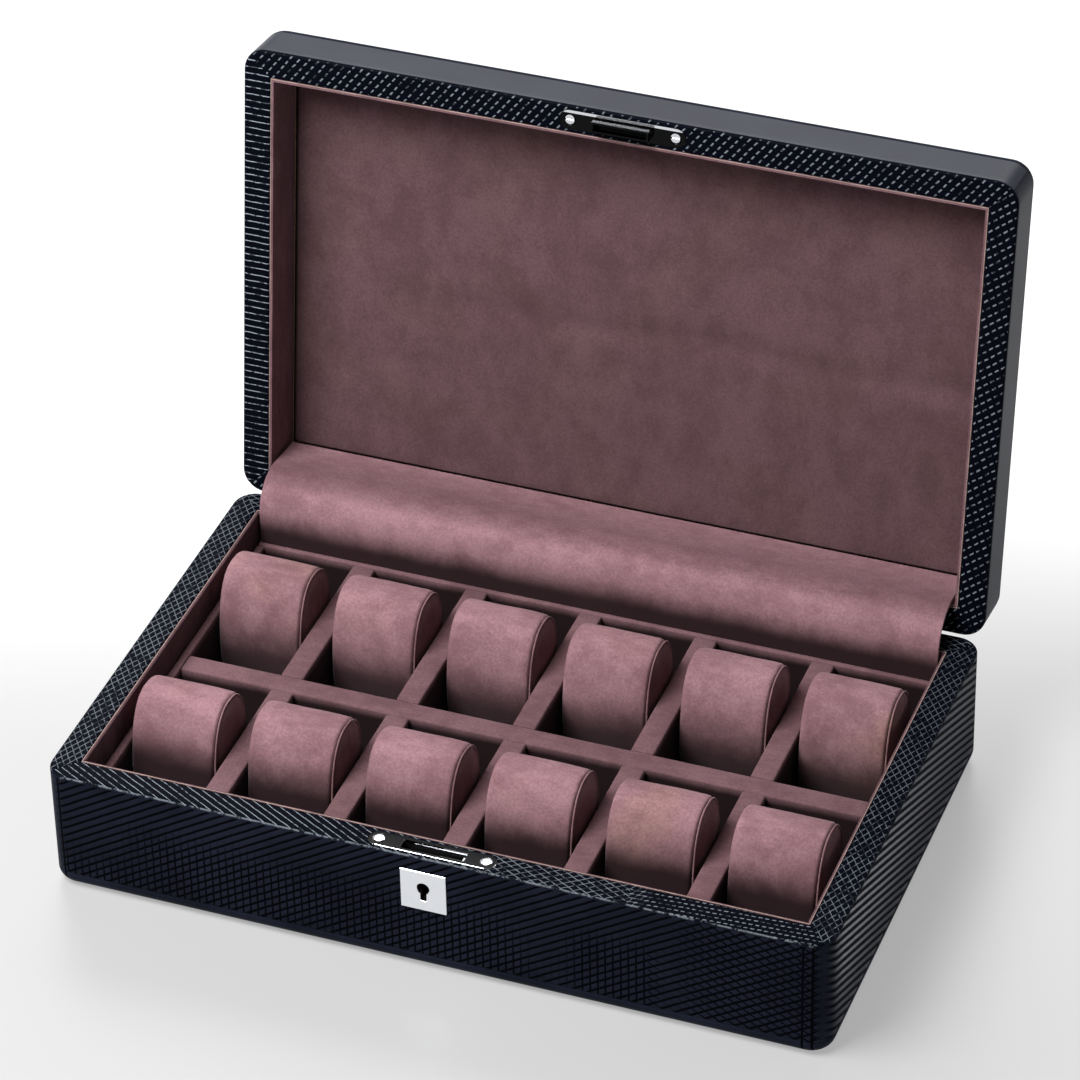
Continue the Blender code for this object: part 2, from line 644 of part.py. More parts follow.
def hinges(base_wrap, lid_wrap, steel, pivot):
    """Two butt hinges with three knuckles, let into the rear rims on the rear edge."""
    axis_frame = bpy.data.objects.new("hinge_axis", None)
    bpy.data.collections[PARTS].objects.link(axis_frame)
    axis_frame.location = (0.0, HALF_D, HINGE_Z)
    half = HINGE_LENGTH / 2
    gap = FIT_GAP / 2
    outer = ((-half, -KNUCKLE_SPLIT - gap), (KNUCKLE_SPLIT + gap, half))
    outer_space = ((-half - BEYOND, -KNUCKLE_SPLIT + gap), (KNUCKLE_SPLIT - gap, half + BEYOND))
    middle = ((-KNUCKLE_SPLIT + gap, KNUCKLE_SPLIT - gap),)
    middle_space = ((-KNUCKLE_SPLIT - gap, KNUCKLE_SPLIT + gap),)
    for side, x in (("left", -HINGE_X), ("right", HINGE_X)):
        hinge_leaf(f"hinge_{side}_base_leaf", x, -1, outer, middle_space, steel, axis_frame)
        hinge_leaf(f"hinge_{side}_lid_leaf", x, 1, middle, outer_space, steel, pivot)
        pin = add_object(f"hinge_{side}_pin",
                         rod((x, 0, 0), PIN_RADIUS, HINGE_LENGTH, "X", FINE_ROUND_SEGMENTS), steel,
                         axis_frame)
        shade_round(pin)
        reach = half + FIT_GAP
        deep = KNUCKLE_RADIUS + 2 * FIT_GAP
        for wrap, parent, sign in ((base_wrap, axis_frame, -1), (lid_wrap, pivot, 1)):
            zs = sorted((-sign * BEYOND, sign * deep))
            notch = block((x - reach, -LEATHER_INNER_EDGE - BEYOND / 2, zs[0]), (x + reach, BEYOND, zs[1]))
            cut(wrap, add_object(f"hinge_{side}_notch_{'base' if sign < 0 else 'lid'}", notch, None, parent))


def gusset(suede):
    """A strip that runs down the lid's rear lining, round the hinge axis and into the base."""
    def lid_point(along, into):
        """A point that is a distance along the open lid and into its thickness."""
        y = -along * math.cos(LID_OPEN_ANGLE) + into * math.sin(LID_OPEN_ANGLE)
        z = along * math.sin(LID_OPEN_ANGLE) + into * math.cos(LID_OPEN_ANGLE)
        return y, z

    path = [lid_point(GUSSET_RADIUS, GUSSET_TOP), lid_point(GUSSET_RADIUS, GUSSET_TOP / 2)]
    start = math.pi - LID_OPEN_ANGLE
    for step in range(GUSSET_ARC_STEPS + 1):
        angle = start + (math.pi - start) * step / GUSSET_ARC_STEPS
        path.append((math.cos(angle) * GUSSET_RADIUS, math.sin(angle) * GUSSET_RADIUS))
    path.append((-GUSSET_RADIUS, TRAY_TOP_Z + FIT_GAP - HINGE_Z))
    bm = bmesh.new()
    half = INNER_X - GUSSET_END_GAP
    verts = [bm.verts.new((-half, HALF_D + y, HINGE_Z + z)) for y, z in path]
    edges = [bm.edges.new(pair) for pair in zip(verts, verts[1:])]
    swept = bmesh.ops.extrude_edge_only(bm, edges=edges)
    moved = [item for item in swept["geom"] if isinstance(item, bmesh.types.BMVert)]
    bmesh.ops.translate(bm, verts=moved, vec=(2 * half, 0.0, 0.0))
    strip = add_object("hinge_gusset", bm, suede)
    thick = strip.modifiers.new("thickness", "SOLIDIFY")
    thick.thickness = GUSSET_THICKNESS
    thick.offset = 0.0
    shade_round(strip)


def lid_inside(wood, suede, pivot):
    """Top board between the walls, a lining frame around the recess and the pad in it."""
    middle = -HALF_D
    far = LID_RIM + LID_HEIGHT
    board_high = far - WOOD_START
    board_low = board_high - TOP_BOARD
    edge_x = HALF_W - LEATHER_INNER_EDGE - FIT_GAP
    edge_y = HALF_D - LEATHER_INNER_EDGE - FIT_GAP
    board("lid_top_board", (-edge_x, middle - edge_y, board_low), (edge_x, middle + edge_y, board_high),
          wood, pivot)
    lining_high = board_low - FIT_GAP
    lining = add_object("lid_lining",
                        block((-edge_x, middle - edge_y, LID_RIM + LINING_SETBACK),
                              (edge_x, middle + edge_y, lining_high)), suede, pivot)
    recess = block((-INNER_X, middle - INNER_Y, LID_RIM - BEYOND),
                   (INNER_X, middle + INNER_Y, lining_high + BEYOND))
    cut(lining, add_object("lid_recess", recess, None, pivot))
    pad_x = INNER_X - FIT_GAP
    pad_y = INNER_Y - FIT_GAP
    board("lid_pad", (-pad_x, middle - pad_y, lining_high - PAD), (pad_x, middle + pad_y, lining_high),
          suede, pivot, PAD_EDGE)


def main():
    clear_scene()
    make_collection(PARTS)
    make_collection(CUTTERS)
    leather = material("navy_leather", (0.010, 0.012, 0.020), 0.42)
    wood = material("case_wood", (0.50, 0.36, 0.22), 0.65)
    suede = material("plum_suede", (0.24, 0.135, 0.155), 0.90)
    felt = material("underside_felt", (0.015, 0.015, 0.018), 0.95)
    chrome = material("chrome_plate", (0.78, 0.78, 0.80), 0.10, 1.0)
    steel = material("lock_steel", (0.55, 0.55, 0.57), 0.28, 1.0)

    base = Shell("base", RIM_Z, FIT_GAP, BASE_EDGE_RADIUS, 0.0)
    base_wrap = base.leather_wrap(leather, open_far_face=True)
    base_boards = base.wall_boards(wood)
    base_floor(wood, felt, suede)
    base_linings(suede)
    tray(suede)
    cushions(suede)

    pivot = lid_frame()
    lid = Shell("lid", LID_RIM, LID_RIM + LID_HEIGHT, LID_EDGE_RADIUS, -HALF_D, pivot)
    lid_wrap = lid.leather_wrap(leather, open_far_face=False)
    lid_boards = lid.wall_boards(wood)
    lid_inside(wood, suede, pivot)

    lock(base_wrap, base_boards["front"], chrome, steel)
    strike(lid_wrap, lid_boards["front"], chrome, steel, pivot)
    hinges(base_wrap, lid_wrap, steel, pivot)
    gusset(suede)


main()
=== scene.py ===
"""Looks of a lockable storage box for twelve watches, built round its packed frame.

Run as a script, it lists its settings and steps as an add-on would, and makes every piece.
Lid pieces are modelled with the lid closed and then turned open on the hinge axis.
"""
import json
import math

import bmesh
import bpy
from bpy.props import FloatProperty, FloatVectorProperty, IntProperty, PointerProperty
from bpy.types import Operator, Panel, PropertyGroup
from mathutils import Matrix, Vector, noise

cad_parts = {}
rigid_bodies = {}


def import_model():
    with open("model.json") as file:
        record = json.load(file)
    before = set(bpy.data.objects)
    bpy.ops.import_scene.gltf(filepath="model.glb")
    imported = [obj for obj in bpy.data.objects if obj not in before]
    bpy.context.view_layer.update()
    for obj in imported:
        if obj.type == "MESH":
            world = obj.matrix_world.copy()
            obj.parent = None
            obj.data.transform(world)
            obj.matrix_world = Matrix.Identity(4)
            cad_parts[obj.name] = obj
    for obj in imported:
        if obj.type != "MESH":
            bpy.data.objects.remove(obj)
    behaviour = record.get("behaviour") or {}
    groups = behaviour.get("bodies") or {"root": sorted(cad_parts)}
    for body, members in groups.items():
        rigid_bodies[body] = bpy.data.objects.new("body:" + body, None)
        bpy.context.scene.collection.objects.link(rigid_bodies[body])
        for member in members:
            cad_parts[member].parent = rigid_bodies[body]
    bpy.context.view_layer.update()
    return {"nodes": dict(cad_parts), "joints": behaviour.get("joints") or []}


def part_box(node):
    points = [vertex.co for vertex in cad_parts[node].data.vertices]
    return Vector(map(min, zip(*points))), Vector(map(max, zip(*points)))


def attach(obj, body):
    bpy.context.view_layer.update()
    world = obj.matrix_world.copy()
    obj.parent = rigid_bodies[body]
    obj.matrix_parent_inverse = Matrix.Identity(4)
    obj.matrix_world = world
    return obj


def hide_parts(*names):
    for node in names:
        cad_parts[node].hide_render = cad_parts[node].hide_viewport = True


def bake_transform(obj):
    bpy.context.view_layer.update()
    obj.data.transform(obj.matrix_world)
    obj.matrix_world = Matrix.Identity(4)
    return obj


for leftover in list(bpy.data.objects):
    bpy.data.objects.remove(leftover, do_unlink=True)

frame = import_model()

bl_info = {
    "name": "Watch Storage Box",
    "version": (1, 0, 0),
    "blender": (4, 5, 0),
    "location": "3D View > Sidebar > Watch Box",
    "description": "Leather, suede, cushions, lock and hinges of a twelve-place watch box",
    "category": "Object",
}

NODES = frame["nodes"]
LID_JOINT = next(joint for joint in frame["joints"] if joint["name"] == "lid_hinge")
LID_OPEN = math.radians(max(abs(limit) for limit in LID_JOINT["range_deg"]))
HINGE = Vector(LID_JOINT["pos_m"])
LID_TURN = Matrix.Translation(HINGE) @ Matrix.Rotation(-LID_OPEN, 4, "X")

MM = 0.001
COLUMNS = 6
ROWS = ("front", "rear")
SIDES = ("front", "right", "back", "left")


# Settings

def length(name, description, millimetres):
    return FloatProperty(name=name, description=description, default=millimetres * MM,
                         subtype="DISTANCE", unit="LENGTH", precision=4)


def angle(name, description, degrees):
    return FloatProperty(name=name, description=description, default=math.radians(degrees),
                         subtype="ANGLE", unit="ROTATION")


def colour(name, description, value):
    return FloatVectorProperty(name=name, description=description, default=value, size=3,
                               subtype="COLOR", min=0.0, max=1.0)


def amount(name, description, value, high=1.0):
    return FloatProperty(name=name, description=description, default=value, min=0.0, max=high)


class LeatherSettings(PropertyGroup):
    """Embossed navy leather round the base and the lid."""

    rib_pitch: length("Rib pitch", "Distance between embossed lines", 3.3)
    corner_radius: length("Corner radius", "Upright corners, seen from above", 10.0)
    base_edge: length("Base edge", "Rounding of the bottom edge", 6.0)
    lid_edge: length("Lid edge", "Rounding of the lid's top edge", 8.0)
    rim_edge: length("Rim edge", "Rounding where a wall meets its rim", 1.3)
    thickness: length("Thickness", "Thickness of the leather with its backing", 1.4)
    seam_depth: length("Seam depth", "Depth of the pressed seams", 0.25)
    foot_height: length("Foot", "Plain band under the bottom seam", 7.0)
    tone: colour("Leather", "Raised ribs", (0.0095, 0.0114, 0.0200))
    groove_tone: colour("Groove", "Bottom of the embossed lines", (0.0015, 0.0015, 0.003))
    # Painted reflection: the rims' ground is drawn darker than the walls' leather for a dark
    # reflection, and the rims' lines pale for a bright one; that pale colour also marks the worn edge.
    rim_painted_reflection_tone: colour("Rim", "Ground between the lines on the rims", (0.0022, 0.0028, 0.0062))
    line_highlight_and_edge_wear_tone: colour("Line", "Rubbed embossed lines on the rims", (0.33, 0.37, 0.42))
    # Painted sheen: the pale colour that the ribs' crowns and the lid's walls get where they reflect
    # light.
    painted_sheen_tone: colour("Silver", "Rubbed crowns of the end walls' ribs", (0.350, 0.358, 0.390))
    seams: FloatVectorProperty(name="Seams", description="Upright seams along the front wall",
                               size=3, default=(-0.1634, 0.1590, 0.1630), unit="LENGTH")


class SuedeSettings(PropertyGroup):
    """Plum suede on the linings, the tray, the pad, the gusset and the cushions."""

    tone: colour("Suede", "Brushed nap", (0.335, 0.186, 0.212))
    deep_tone: colour("Deep suede", "Nap stroked the other way", (0.150, 0.072, 0.082))
    warm_tone: colour("Warm suede", "Browner areas of the hide", (0.360, 0.205, 0.185))
    edge_tone: colour("Cut edge", "Pale raw edge of the lining board", (0.40, 0.28, 0.25))
    nap: length("Nap", "Size of the fine mottling", 1.1)


class CushionSettings(PropertyGroup):
    """Shape of the twelve watch cushions."""

    width: length("Width", "From side to side", 40.2)
    depth: length("Depth", "From front to back", 34.0)
    height: length("Height", "From top to bottom", 57.0)
    lean: angle("Lean", "How far a cushion leans back", 6.0)
    fullness: amount("Fullness", "Power of the rounded oblong section", 2.5, 4.0)
    piping: length("Piping", "Radius of the rolled edge", 0.40)
    fill: amount("Fill", "How tight the stuffing is", 0.8)
    round_steps: IntProperty(name="Steps round", description="Points round a section", default=72)


class MetalSettings(PropertyGroup):
    """Finish of the lock, the strike and the hinges."""

    chrome: colour("Chrome", "Polished plates", (0.90, 0.92, 0.96))
    steel: colour("Steel", "Screws, bolt and hinges", (0.58, 0.58, 0.60))
    strike_thickness: length("Strike", "Thickness of the strike plate", 1.2)


class StageSettings(PropertyGroup):
    """Camera, floor and lights."""

    lens: FloatProperty(name="Lens", description="Focal length in millimetres", default=174.4)
    azimuth: angle("Azimuth", "Camera direction round the box", 21.09)
    elevation: angle("Elevation", "Camera height above the horizon", 36.23)
    roll: angle("Roll", "Camera roll", -1.27)
    distance: length("Distance", "From the camera to its target", 2178.6)
    target: FloatVectorProperty(name="Target", description="Point the camera looks at", size=3,
                                default=(-0.00417, 0.0394, 0.11605), subtype="TRANSLATION")
    floor_tone: colour("Floor", "Pale studio floor", (0.24, 0.24, 0.24))
    near_glow: amount("Near glow", "Light that the table gives off in front", 0.37, 2.0)
    far_glow: amount("Far glow", "Light that the table gives off behind", 0.85, 2.0)
    key_power: amount("Key light", "Power of the large soft light in watts", 33.0, 500.0)
    side_power: amount("Side light", "Power of the light on the right in watts", 2.5, 500.0)
    back_power: amount("Back light", "Power of the wide light behind in watts", 34.0, 500.0)
    sky: amount("Sky", "Strength of the even white surround", 0.09, 5.0)


# Materials

class Value:
    """A number inside a material.  Plain arithmetic on it adds Math nodes."""

    def __init__(self, finish, socket):
        self.finish = finish
        self.socket = socket

    def math(self, operation, first, second=0.0):
        return self.finish.add("ShaderNodeMath", {"operation": operation}, {0: first, 1: second})

    def __add__(self, other):
        return self.math("ADD", self, other)

    def __radd__(self, other):
        return self.math("ADD", other, self)

    def __sub__(self, other):
        return self.math("SUBTRACT", self, other)

    def __rsub__(self, other):
        return self.math("SUBTRACT", other, self)

    def __mul__(self, other):
        return self.math("MULTIPLY", self, other)

    def __rmul__(self, other):
        return self.math("MULTIPLY", other, self)

    def highest(self, other):
        return self.math("MAXIMUM", self, other)

    def lowest(self, other):
        return self.math("MINIMUM", self, other)

    def magnitude(self):
        return self.math("ABSOLUTE", self)

    def fold(self):
        """Distance to the nearest whole number, from 0 to 0.5."""
        return self.math("PINGPONG", self, 0.5)


def socket_name(word):
    """The shader's own name for an input: specular_ior_level is Specular IOR Level."""
    return word.replace("_", " ").title().replace("Ior", "IOR")


def scaled(tone, share):
    """A colour made lighter or darker."""
    return tuple(share * part for part in tone)


class Finish:
    """A procedural material and the few ways its nodes are made."""

    def __init__(self, name, **constants):
        self.material = bpy.data.materials.new(name)
        self.material.use_nodes = True
        self.tree = self.material.node_tree
        self.shader = self.tree.nodes["Principled BSDF"]
        for socket, value in constants.items():
            self.shader.inputs[socket_name(socket)].default_value = value

    def add(self, kind, settings=None, inputs=None, output=0):
        """A node of any kind: its settings are set first, then its sockets."""
        node = self.tree.nodes.new(kind)
        for key, value in (settings or {}).items():
            setattr(node, key, value)
        for key, value in (inputs or {}).items():
            self.connect(node.inputs[key], value)
        return Value(self, node.outputs[output])

    def connect(self, socket, value):
        if isinstance(value, Value):
            self.tree.links.new(value.socket, socket)
        elif socket.type == "RGBA" and len(value) == 3:
            socket.default_value = (*value, 1.0)
        else:
            socket.default_value = value

    def place(self):
        """Position on the piece, which keeps still when the piece moves."""
        return self.add("ShaderNodeTexCoord", output="Object")

    def axis(self, name):
        """One coordinate of the position."""
        return self.add("ShaderNodeSeparateXYZ", None, {0: self.place()}, output=name)

    def stretched(self, scale, turn=(0.0, 0.0, 0.0)):
        return self.add("ShaderNodeMapping", None,
                        {"Vector": self.place(), "Scale": scale, "Rotation": turn})

    def noise(self, size, detail=3.0, roughness=0.55, vector=None, distortion=0.0):
        """Soft noise from 0 to 1 whose lumps are about size metres across."""
        return self.add("ShaderNodeTexNoise", None,
                        {"Vector": vector or self.place(), "Scale": 1.0 / size, "Detail": detail,
                         "Roughness": roughness, "Distortion": distortion})

    def smooth(self, value, low, high, bottom=0.0, top=1.0):
        """A soft step that goes from bottom to top as value goes from low to high."""
        return self.add("ShaderNodeMapRange", {"interpolation_type": "SMOOTHSTEP"},
                        {"Value": value, "From Min": low, "From Max": high, "To Min": bottom,
                         "To Max": top})

    def line(self, distance, core, reach):
        """A soft line: 1 within core of its middle, and 0 from reach on."""
        return self.smooth(distance, core, reach, 1.0, 0.0)

    def mix(self, factor, first, second):
        return self.add("ShaderNodeMix", {"data_type": "RGBA"},
                        {0: factor, 6: first, 7: second}, output=2)

    def split_uv(self, name):
        """The two numbers that a piece's UV map holds."""
        uv = self.add("ShaderNodeUVMap", {"uv_map": name}, output="UV")
        first = self.add("ShaderNodeSeparateXYZ", None, {0: uv})
        return first, Value(self, first.socket.node.outputs["Y"])

    def bump(self, height, distance, strength=1.0):
        return self.add("ShaderNodeBump", None,
                        {"Height": height, "Distance": distance, "Strength": strength})

    def surface(self, **inputs):
        for socket, value in inputs.items():
            self.connect(self.shader.inputs[socket_name(socket)], value)
        return self.material


def embossed_leather(settings):
    """Leather pressed with two families of lines, which each piece lays out in its UV maps.

    lines counts line spacings, shares gives each family's strength, and zones holds the painted sheen
    on the ribs and the lid's smooth walls, which also sets the clear coat, and the kind of surface:
    0 a ribbed wall, 1 a lined rim, 2 a dotted rim.  seams holds how rubbed the edge is and, on the
    front, the distance along it.  The rims' pale lines and dark ground are painted reflection.
    """
    finish = Finish("embossed_leather", specular_ior_level=0.012, coat_roughness=0.35)
    across, along = finish.split_uv("lines")
    first_share, second_share = finish.split_uv("shares")
    painted_sheen_and_coat, zone = finish.split_uv("zones")
    rubbed, place = finish.split_uv("seams")
    rim = zone.lowest(1.0)
    wall = 1.0 - rim
    dotted = (zone - 1.0).highest(0.0)
    smoothed = 1.0 - first_share

    cloud = finish.noise(30 * MM)
    worn = finish.noise(2.6 * MM, roughness=0.6)
    pebble = finish.noise(0.9 * MM, roughness=0.6)
    wander = (finish.noise(5 * MM, 2.0) - 0.5) * (0.12 + rim * 0.10)
    across_fold, along_fold = (across + wander).fold(), (along - wander).fold()

    first = finish.line(across_fold, 0.03, 0.10) * first_share
    second = finish.line(along_fold, 0.03, 0.09) * second_share
    dots = finish.line(across_fold, 0.06, 0.14) * finish.line(along_fold, 0.22, 0.34)
    rim_lines = first.highest(second).highest(dots * dotted * 0.6)
    broken = finish.smooth(worn + (cloud - 0.5) * 0.30, 0.38, 0.52, 0.14, 1.0)
    edge_line = finish.smooth(rubbed, 0.55, 0.95) * finish.smooth(worn, 0.40, 0.56)

    first_groove = finish.line(across_fold, 0.08, 0.26) * first_share
    second_groove = finish.line(along_fold, 0.05, 0.16) * second_share
    grooves = first_groove.highest(second_groove)
    for seam in settings.seams:
        grooves = grooves.highest(finish.line((place - seam).magnitude(), 0.25 * MM, 0.7 * MM))
    ribs = finish.smooth(across_fold, 0.20, 0.50) * (0.15 + first_share * 0.85)
    crown = ribs.highest(smoothed * 0.22)

    ridge = finish.mix(finish.smooth(cloud, 0.3, 0.7, 0.0, 0.7), settings.tone,
                       scaled(settings.tone, 1.8))
    # Painted sheen on the ribs' crowns and the lid's smooth walls.
    ridge = finish.mix(painted_sheen_and_coat * crown, ridge, settings.painted_sheen_tone)
    wall_tone = finish.mix(grooves, ridge, settings.groove_tone)
    # Painted reflection on the rims: pale lines on a dark ground.
    rim_painted_reflection_tone = finish.mix(rim_lines * broken, settings.rim_painted_reflection_tone, settings.line_highlight_and_edge_wear_tone)
    tone = finish.mix(rim, wall_tone, rim_painted_reflection_tone)
    tone = finish.mix(edge_line * 0.55, tone, settings.line_highlight_and_edge_wear_tone)
    height = rim_lines * rim * 0.4 - grooves * wall + pebble * 0.06
    return finish.surface(base_color=tone, coat_weight=painted_sheen_and_coat * smoothed,
                          roughness=0.32 + pebble * 0.08 + grooves * wall * 0.35,
                          normal=finish.bump(height, 0.30 * MM))


def suede(name, settings, depth=1.0, warmth=0.35, clouding=1.0, shaded=(), painted_seam_and_border_shade=False):
    """Brushed suede: clouds where the nap lies differently, streaks, and a fine fuzzy grain.

    Each band of shaded gives two heights and a strength: painted shade darkens the suede fully at the
    first height and fades out by the second.  When asked for, a UV map of a piece's seams and end
    panels gives painted shade in the seam grooves and on the end panels, and round the lid pad's
    border.  depth scales the tones; the darker copies on the tray, its floor, the linings and the lid
    pad are painted shade.
    """
    finish = Finish(name, sheen_weight=0.16 * min(depth, 1.0), sheen_roughness=0.45,
                    sheen_tint=(0.95, 0.78, 0.82, 1.0), specular_ior_level=0.12)
    shade, deep, warm = [scaled(tone, depth) for tone in
                         (settings.tone, settings.deep_tone, settings.warm_tone)]
    clouds = finish.noise(26 * MM, 4.0, 0.6, distortion=0.4)
    streaks = finish.noise(9 * MM, 4.0, 0.6, finish.stretched((1.0, 2.2, 0.5), (0.3, 0.2, 0.5)))
    nap = finish.noise(settings.nap, roughness=0.65)
    fuzz = finish.noise(0.35 * MM, 2.0, 0.6)
    brushed = finish.smooth(clouds * 0.5 + streaks * 0.35 + nap * 0.15, 0.36, 0.62)
    warmer = finish.smooth(finish.noise(45 * MM, 2.0), 0.45, 0.7, 0.0, warmth)
    tone = finish.mix(1.0 - (1.0 - brushed) * 0.70 * clouding, deep,
                      finish.mix(warmer, shade, warm))
    tone = finish.mix(finish.smooth(nap * 0.6 + fuzz * 0.4, 0.38, 0.64, 0.40, 0.0), tone, deep)
    # Painted shade, darker towards the bottom of each band.
    for dark_height, light_height, strength in shaded:
        uneven = finish.axis("Z") + (clouds - 0.5) * 0.45 * abs(light_height - dark_height)
        painted_shade = finish.smooth(uneven, dark_height, light_height, strength, 0.0)
        tone = finish.mix(painted_shade, tone, (0.10 * deep[0], 0.07 * deep[1], 0.08 * deep[2]))
    # Painted shade in the seam grooves and on the end panels, and round the lid pad's border.
    if painted_seam_and_border_shade:
        painted_groove_shade, panel = finish.split_uv("seams")
        tone = finish.mix(panel * 0.45, tone, scaled(deep, 0.4))
        tone = finish.mix(finish.smooth(painted_groove_shade, 0.15, 0.75, 0.0, 0.95), tone, (0.006, 0.003, 0.003))
    height = fuzz * 0.5 + nap * 0.5 + clouds * 0.8
    return finish.surface(base_color=tone, roughness=0.82 + nap * 0.15,
                          normal=finish.bump(height, 0.12 * MM, 0.8))


def raw_edge(name, tone):
    """Pale card edge with a trace of glue and dust."""
    finish = Finish(name, specular_ior_level=0.3)
    dust = finish.noise(5 * MM, 4.0, 0.6)
    shade = finish.mix(finish.smooth(dust, 0.3, 0.7), tone, scaled(tone, 0.62))
    return finish.surface(base_color=shade, roughness=0.6 + dust * 0.2,
                          normal=finish.bump(dust, 0.05 * MM))


def case_wood(name, lightness=1.0):
    """Board with long grain, at its own tone or darkened."""
    finish = Finish(name, specular_ior_level=0.3)
    grain = finish.noise(3 * MM, 5.0, 0.6, finish.stretched((0.12, 1.0, 1.0)), 0.6)
    fibre = finish.noise(0.8 * MM, 3.0, 0.6, finish.stretched((0.06, 1.0, 1.0)))
    tone = finish.mix(finish.smooth(grain, 0.3, 0.7), scaled((0.56, 0.40, 0.24), lightness),
                      scaled((0.36, 0.23, 0.12), lightness))
    return finish.surface(base_color=tone, roughness=0.55 + fibre * 0.25,
                          normal=finish.bump(fibre, 0.08 * MM))


def black_felt(name):
    """Short black felt under the case."""
    finish = Finish(name, sheen_weight=0.3, sheen_roughness=0.6, specular_ior_level=0.1)
    fibres = finish.noise(0.7 * MM, 4.0, 0.7)
    patches = finish.noise(14 * MM)
    tone = finish.mix(fibres * 0.6 + patches * 0.4, (0.008, 0.008, 0.010), (0.030, 0.030, 0.034))
    return finish.surface(base_color=tone, roughness=0.88 + fibres * 0.1,
                          normal=finish.bump(fibres, 0.15 * MM))


def metal(name, tone, roughness, brushing, dulling=0.0, painted_dark_reflection=None):
    """Polished or brushed metal with faint smears and hairlines.

    The last argument gives a height and which way a flat face looks, up or down: the face at that
    height gets a painted dark reflection.
    """
    finish = Finish(name)
    smears = finish.noise(7 * MM, roughness=0.6)
    hairs = finish.noise(0.5 * MM, 3.0, 0.6, finish.stretched((0.08, 1.0, 1.0)))
    shade = finish.mix(finish.smooth(smears, 0.35, 0.75, 0.0, 0.5), tone,
                       scaled(tone, 1.0 - dulling))
    if painted_dark_reflection is not None:
        # Painted reflection: the flat face is drawn nearly black.
        reach = (finish.axis("Z") - painted_dark_reflection[0]) * painted_dark_reflection[1]
        face = finish.smooth(reach, -0.06 * MM, -0.01 * MM)
        shade = finish.mix(face, shade, scaled(tone, 0.012))
    return finish.surface(base_color=shade, metallic=1.0,
                          roughness=roughness + smears * roughness * 0.5 + hairs * brushing,
                          normal=finish.bump(hairs, 0.01 * MM, 0.3))


def paint(node, finish):
    """Give a carried-over CAD node its finish."""
    NODES[node].data.materials.clear()
    NODES[node].data.materials.append(finish)


# Mesh helpers

def add_object(name, bm):
    """An object in the scene made from a bmesh, its faces turned outward."""
    bmesh.ops.recalc_face_normals(bm, faces=bm.faces)
    mesh = bpy.data.meshes.new(name)
    bm.to_mesh(mesh)
    bm.free()
    made = bpy.data.objects.new(name, mesh)
    bpy.context.scene.collection.objects.link(made)
    return made


def new_piece(name, bm, finish, body, replaced=(), turn=None, sharp=math.radians(40)):
    """Turn a bmesh into a shown piece that rides on a body and stands for CAD nodes."""
    piece = add_object(name, bm)
    if turn is not None:
        piece.data.transform(turn)
    piece.data.materials.append(finish)
    piece.data.shade_smooth()
    piece.data.set_sharp_from_angle(angle=sharp)
    if replaced:
        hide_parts(*replaced)
    if body is not None:
        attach(piece, body)
    return piece


def loft(rings, capped=True):
    """A skin through closed rings of points, with a flat face on each end."""
    bm = bmesh.new()
    levels = [[bm.verts.new(point) for point in ring] for ring in rings]
    for lower, upper in zip(levels, levels[1:]):
        for index in range(len(lower)):
            after = (index + 1) % len(lower)
            bm.faces.new((lower[index], lower[after], upper[after], upper[index]))
    if capped:
        bm.faces.new(levels[0])
        bm.faces.new(levels[-1])
    return bm


def block(low, high):
    """A plain box, for cutting."""
    bm = bmesh.new()
    low, high = Vector(low), Vector(high)
    size = Matrix.Diagonal((*(high - low), 1.0))
    bmesh.ops.create_cube(bm, size=1.0, matrix=Matrix.Translation((low + high) / 2) @ size)
    return bm


def wobble(point, size, reach, seed=0.0):
    """A small smooth displacement that depends only on the place and a seed."""
    return reach * noise.noise(Vector(point) / size + Vector((seed, seed * 0.37, -seed)))


def carve(piece, cutters):
    """Cut closed shapes out of a piece for good."""
    made = [add_object(f"cutter_{count}", bm) for count, bm in enumerate(cutters)]
    for cutter in made:
        step = piece.modifiers.new(cutter.name, "BOOLEAN")
        step.operation = "DIFFERENCE"
        step.solver = "EXACT"
        step.object = cutter
    bpy.context.view_layer.update()
    evaluated = piece.evaluated_get(bpy.context.evaluated_depsgraph_get())
    carved = bpy.data.meshes.new_from_object(evaluated)
    piece.modifiers.clear()
    piece.data = carved
    for cutter in made:
        bpy.data.objects.remove(cutter, do_unlink=True)


def lid_box(node):
    """Corners of a lid node in the closed lid's own frame, measured from the hinge axis."""
    closed = LID_TURN.inverted()
    points = [closed @ vert.co for vert in NODES[node].data.vertices]
    return [Vector([pick(point[axis] for point in points) for axis in range(3)])
            for pick in (min, max)]


def spread(start, end, count):
    """count + 1 evenly spaced numbers from start to end."""
    return [start + (end - start) * step / count for step in range(count + 1)]


def arc(centre, radius, start, end, count):
    """Points on an arc in two dimensions, angles in degrees."""
    return [(centre[0] + radius * math.cos(math.radians(turn)),
             centre[1] + radius * math.sin(math.radians(turn)))
            for turn in spread(start, end, count)]


def soft_step(value, low, high):
    share = min(max((value - low) / (high - low), 0.0), 1.0)
    return share * share * (3 - 2 * share)


# Leather

RIM_WIDTH = 12.0 * MM
FOOT_RETURN = 14.0 * MM
TOP_REACH = 60 * MM
FITTING_GAP = 0.3 * MM
CUT_PAST = 4 * MM
LEAF_CUT = 2.8 * MM
LEAF_REACH = 14 * MM


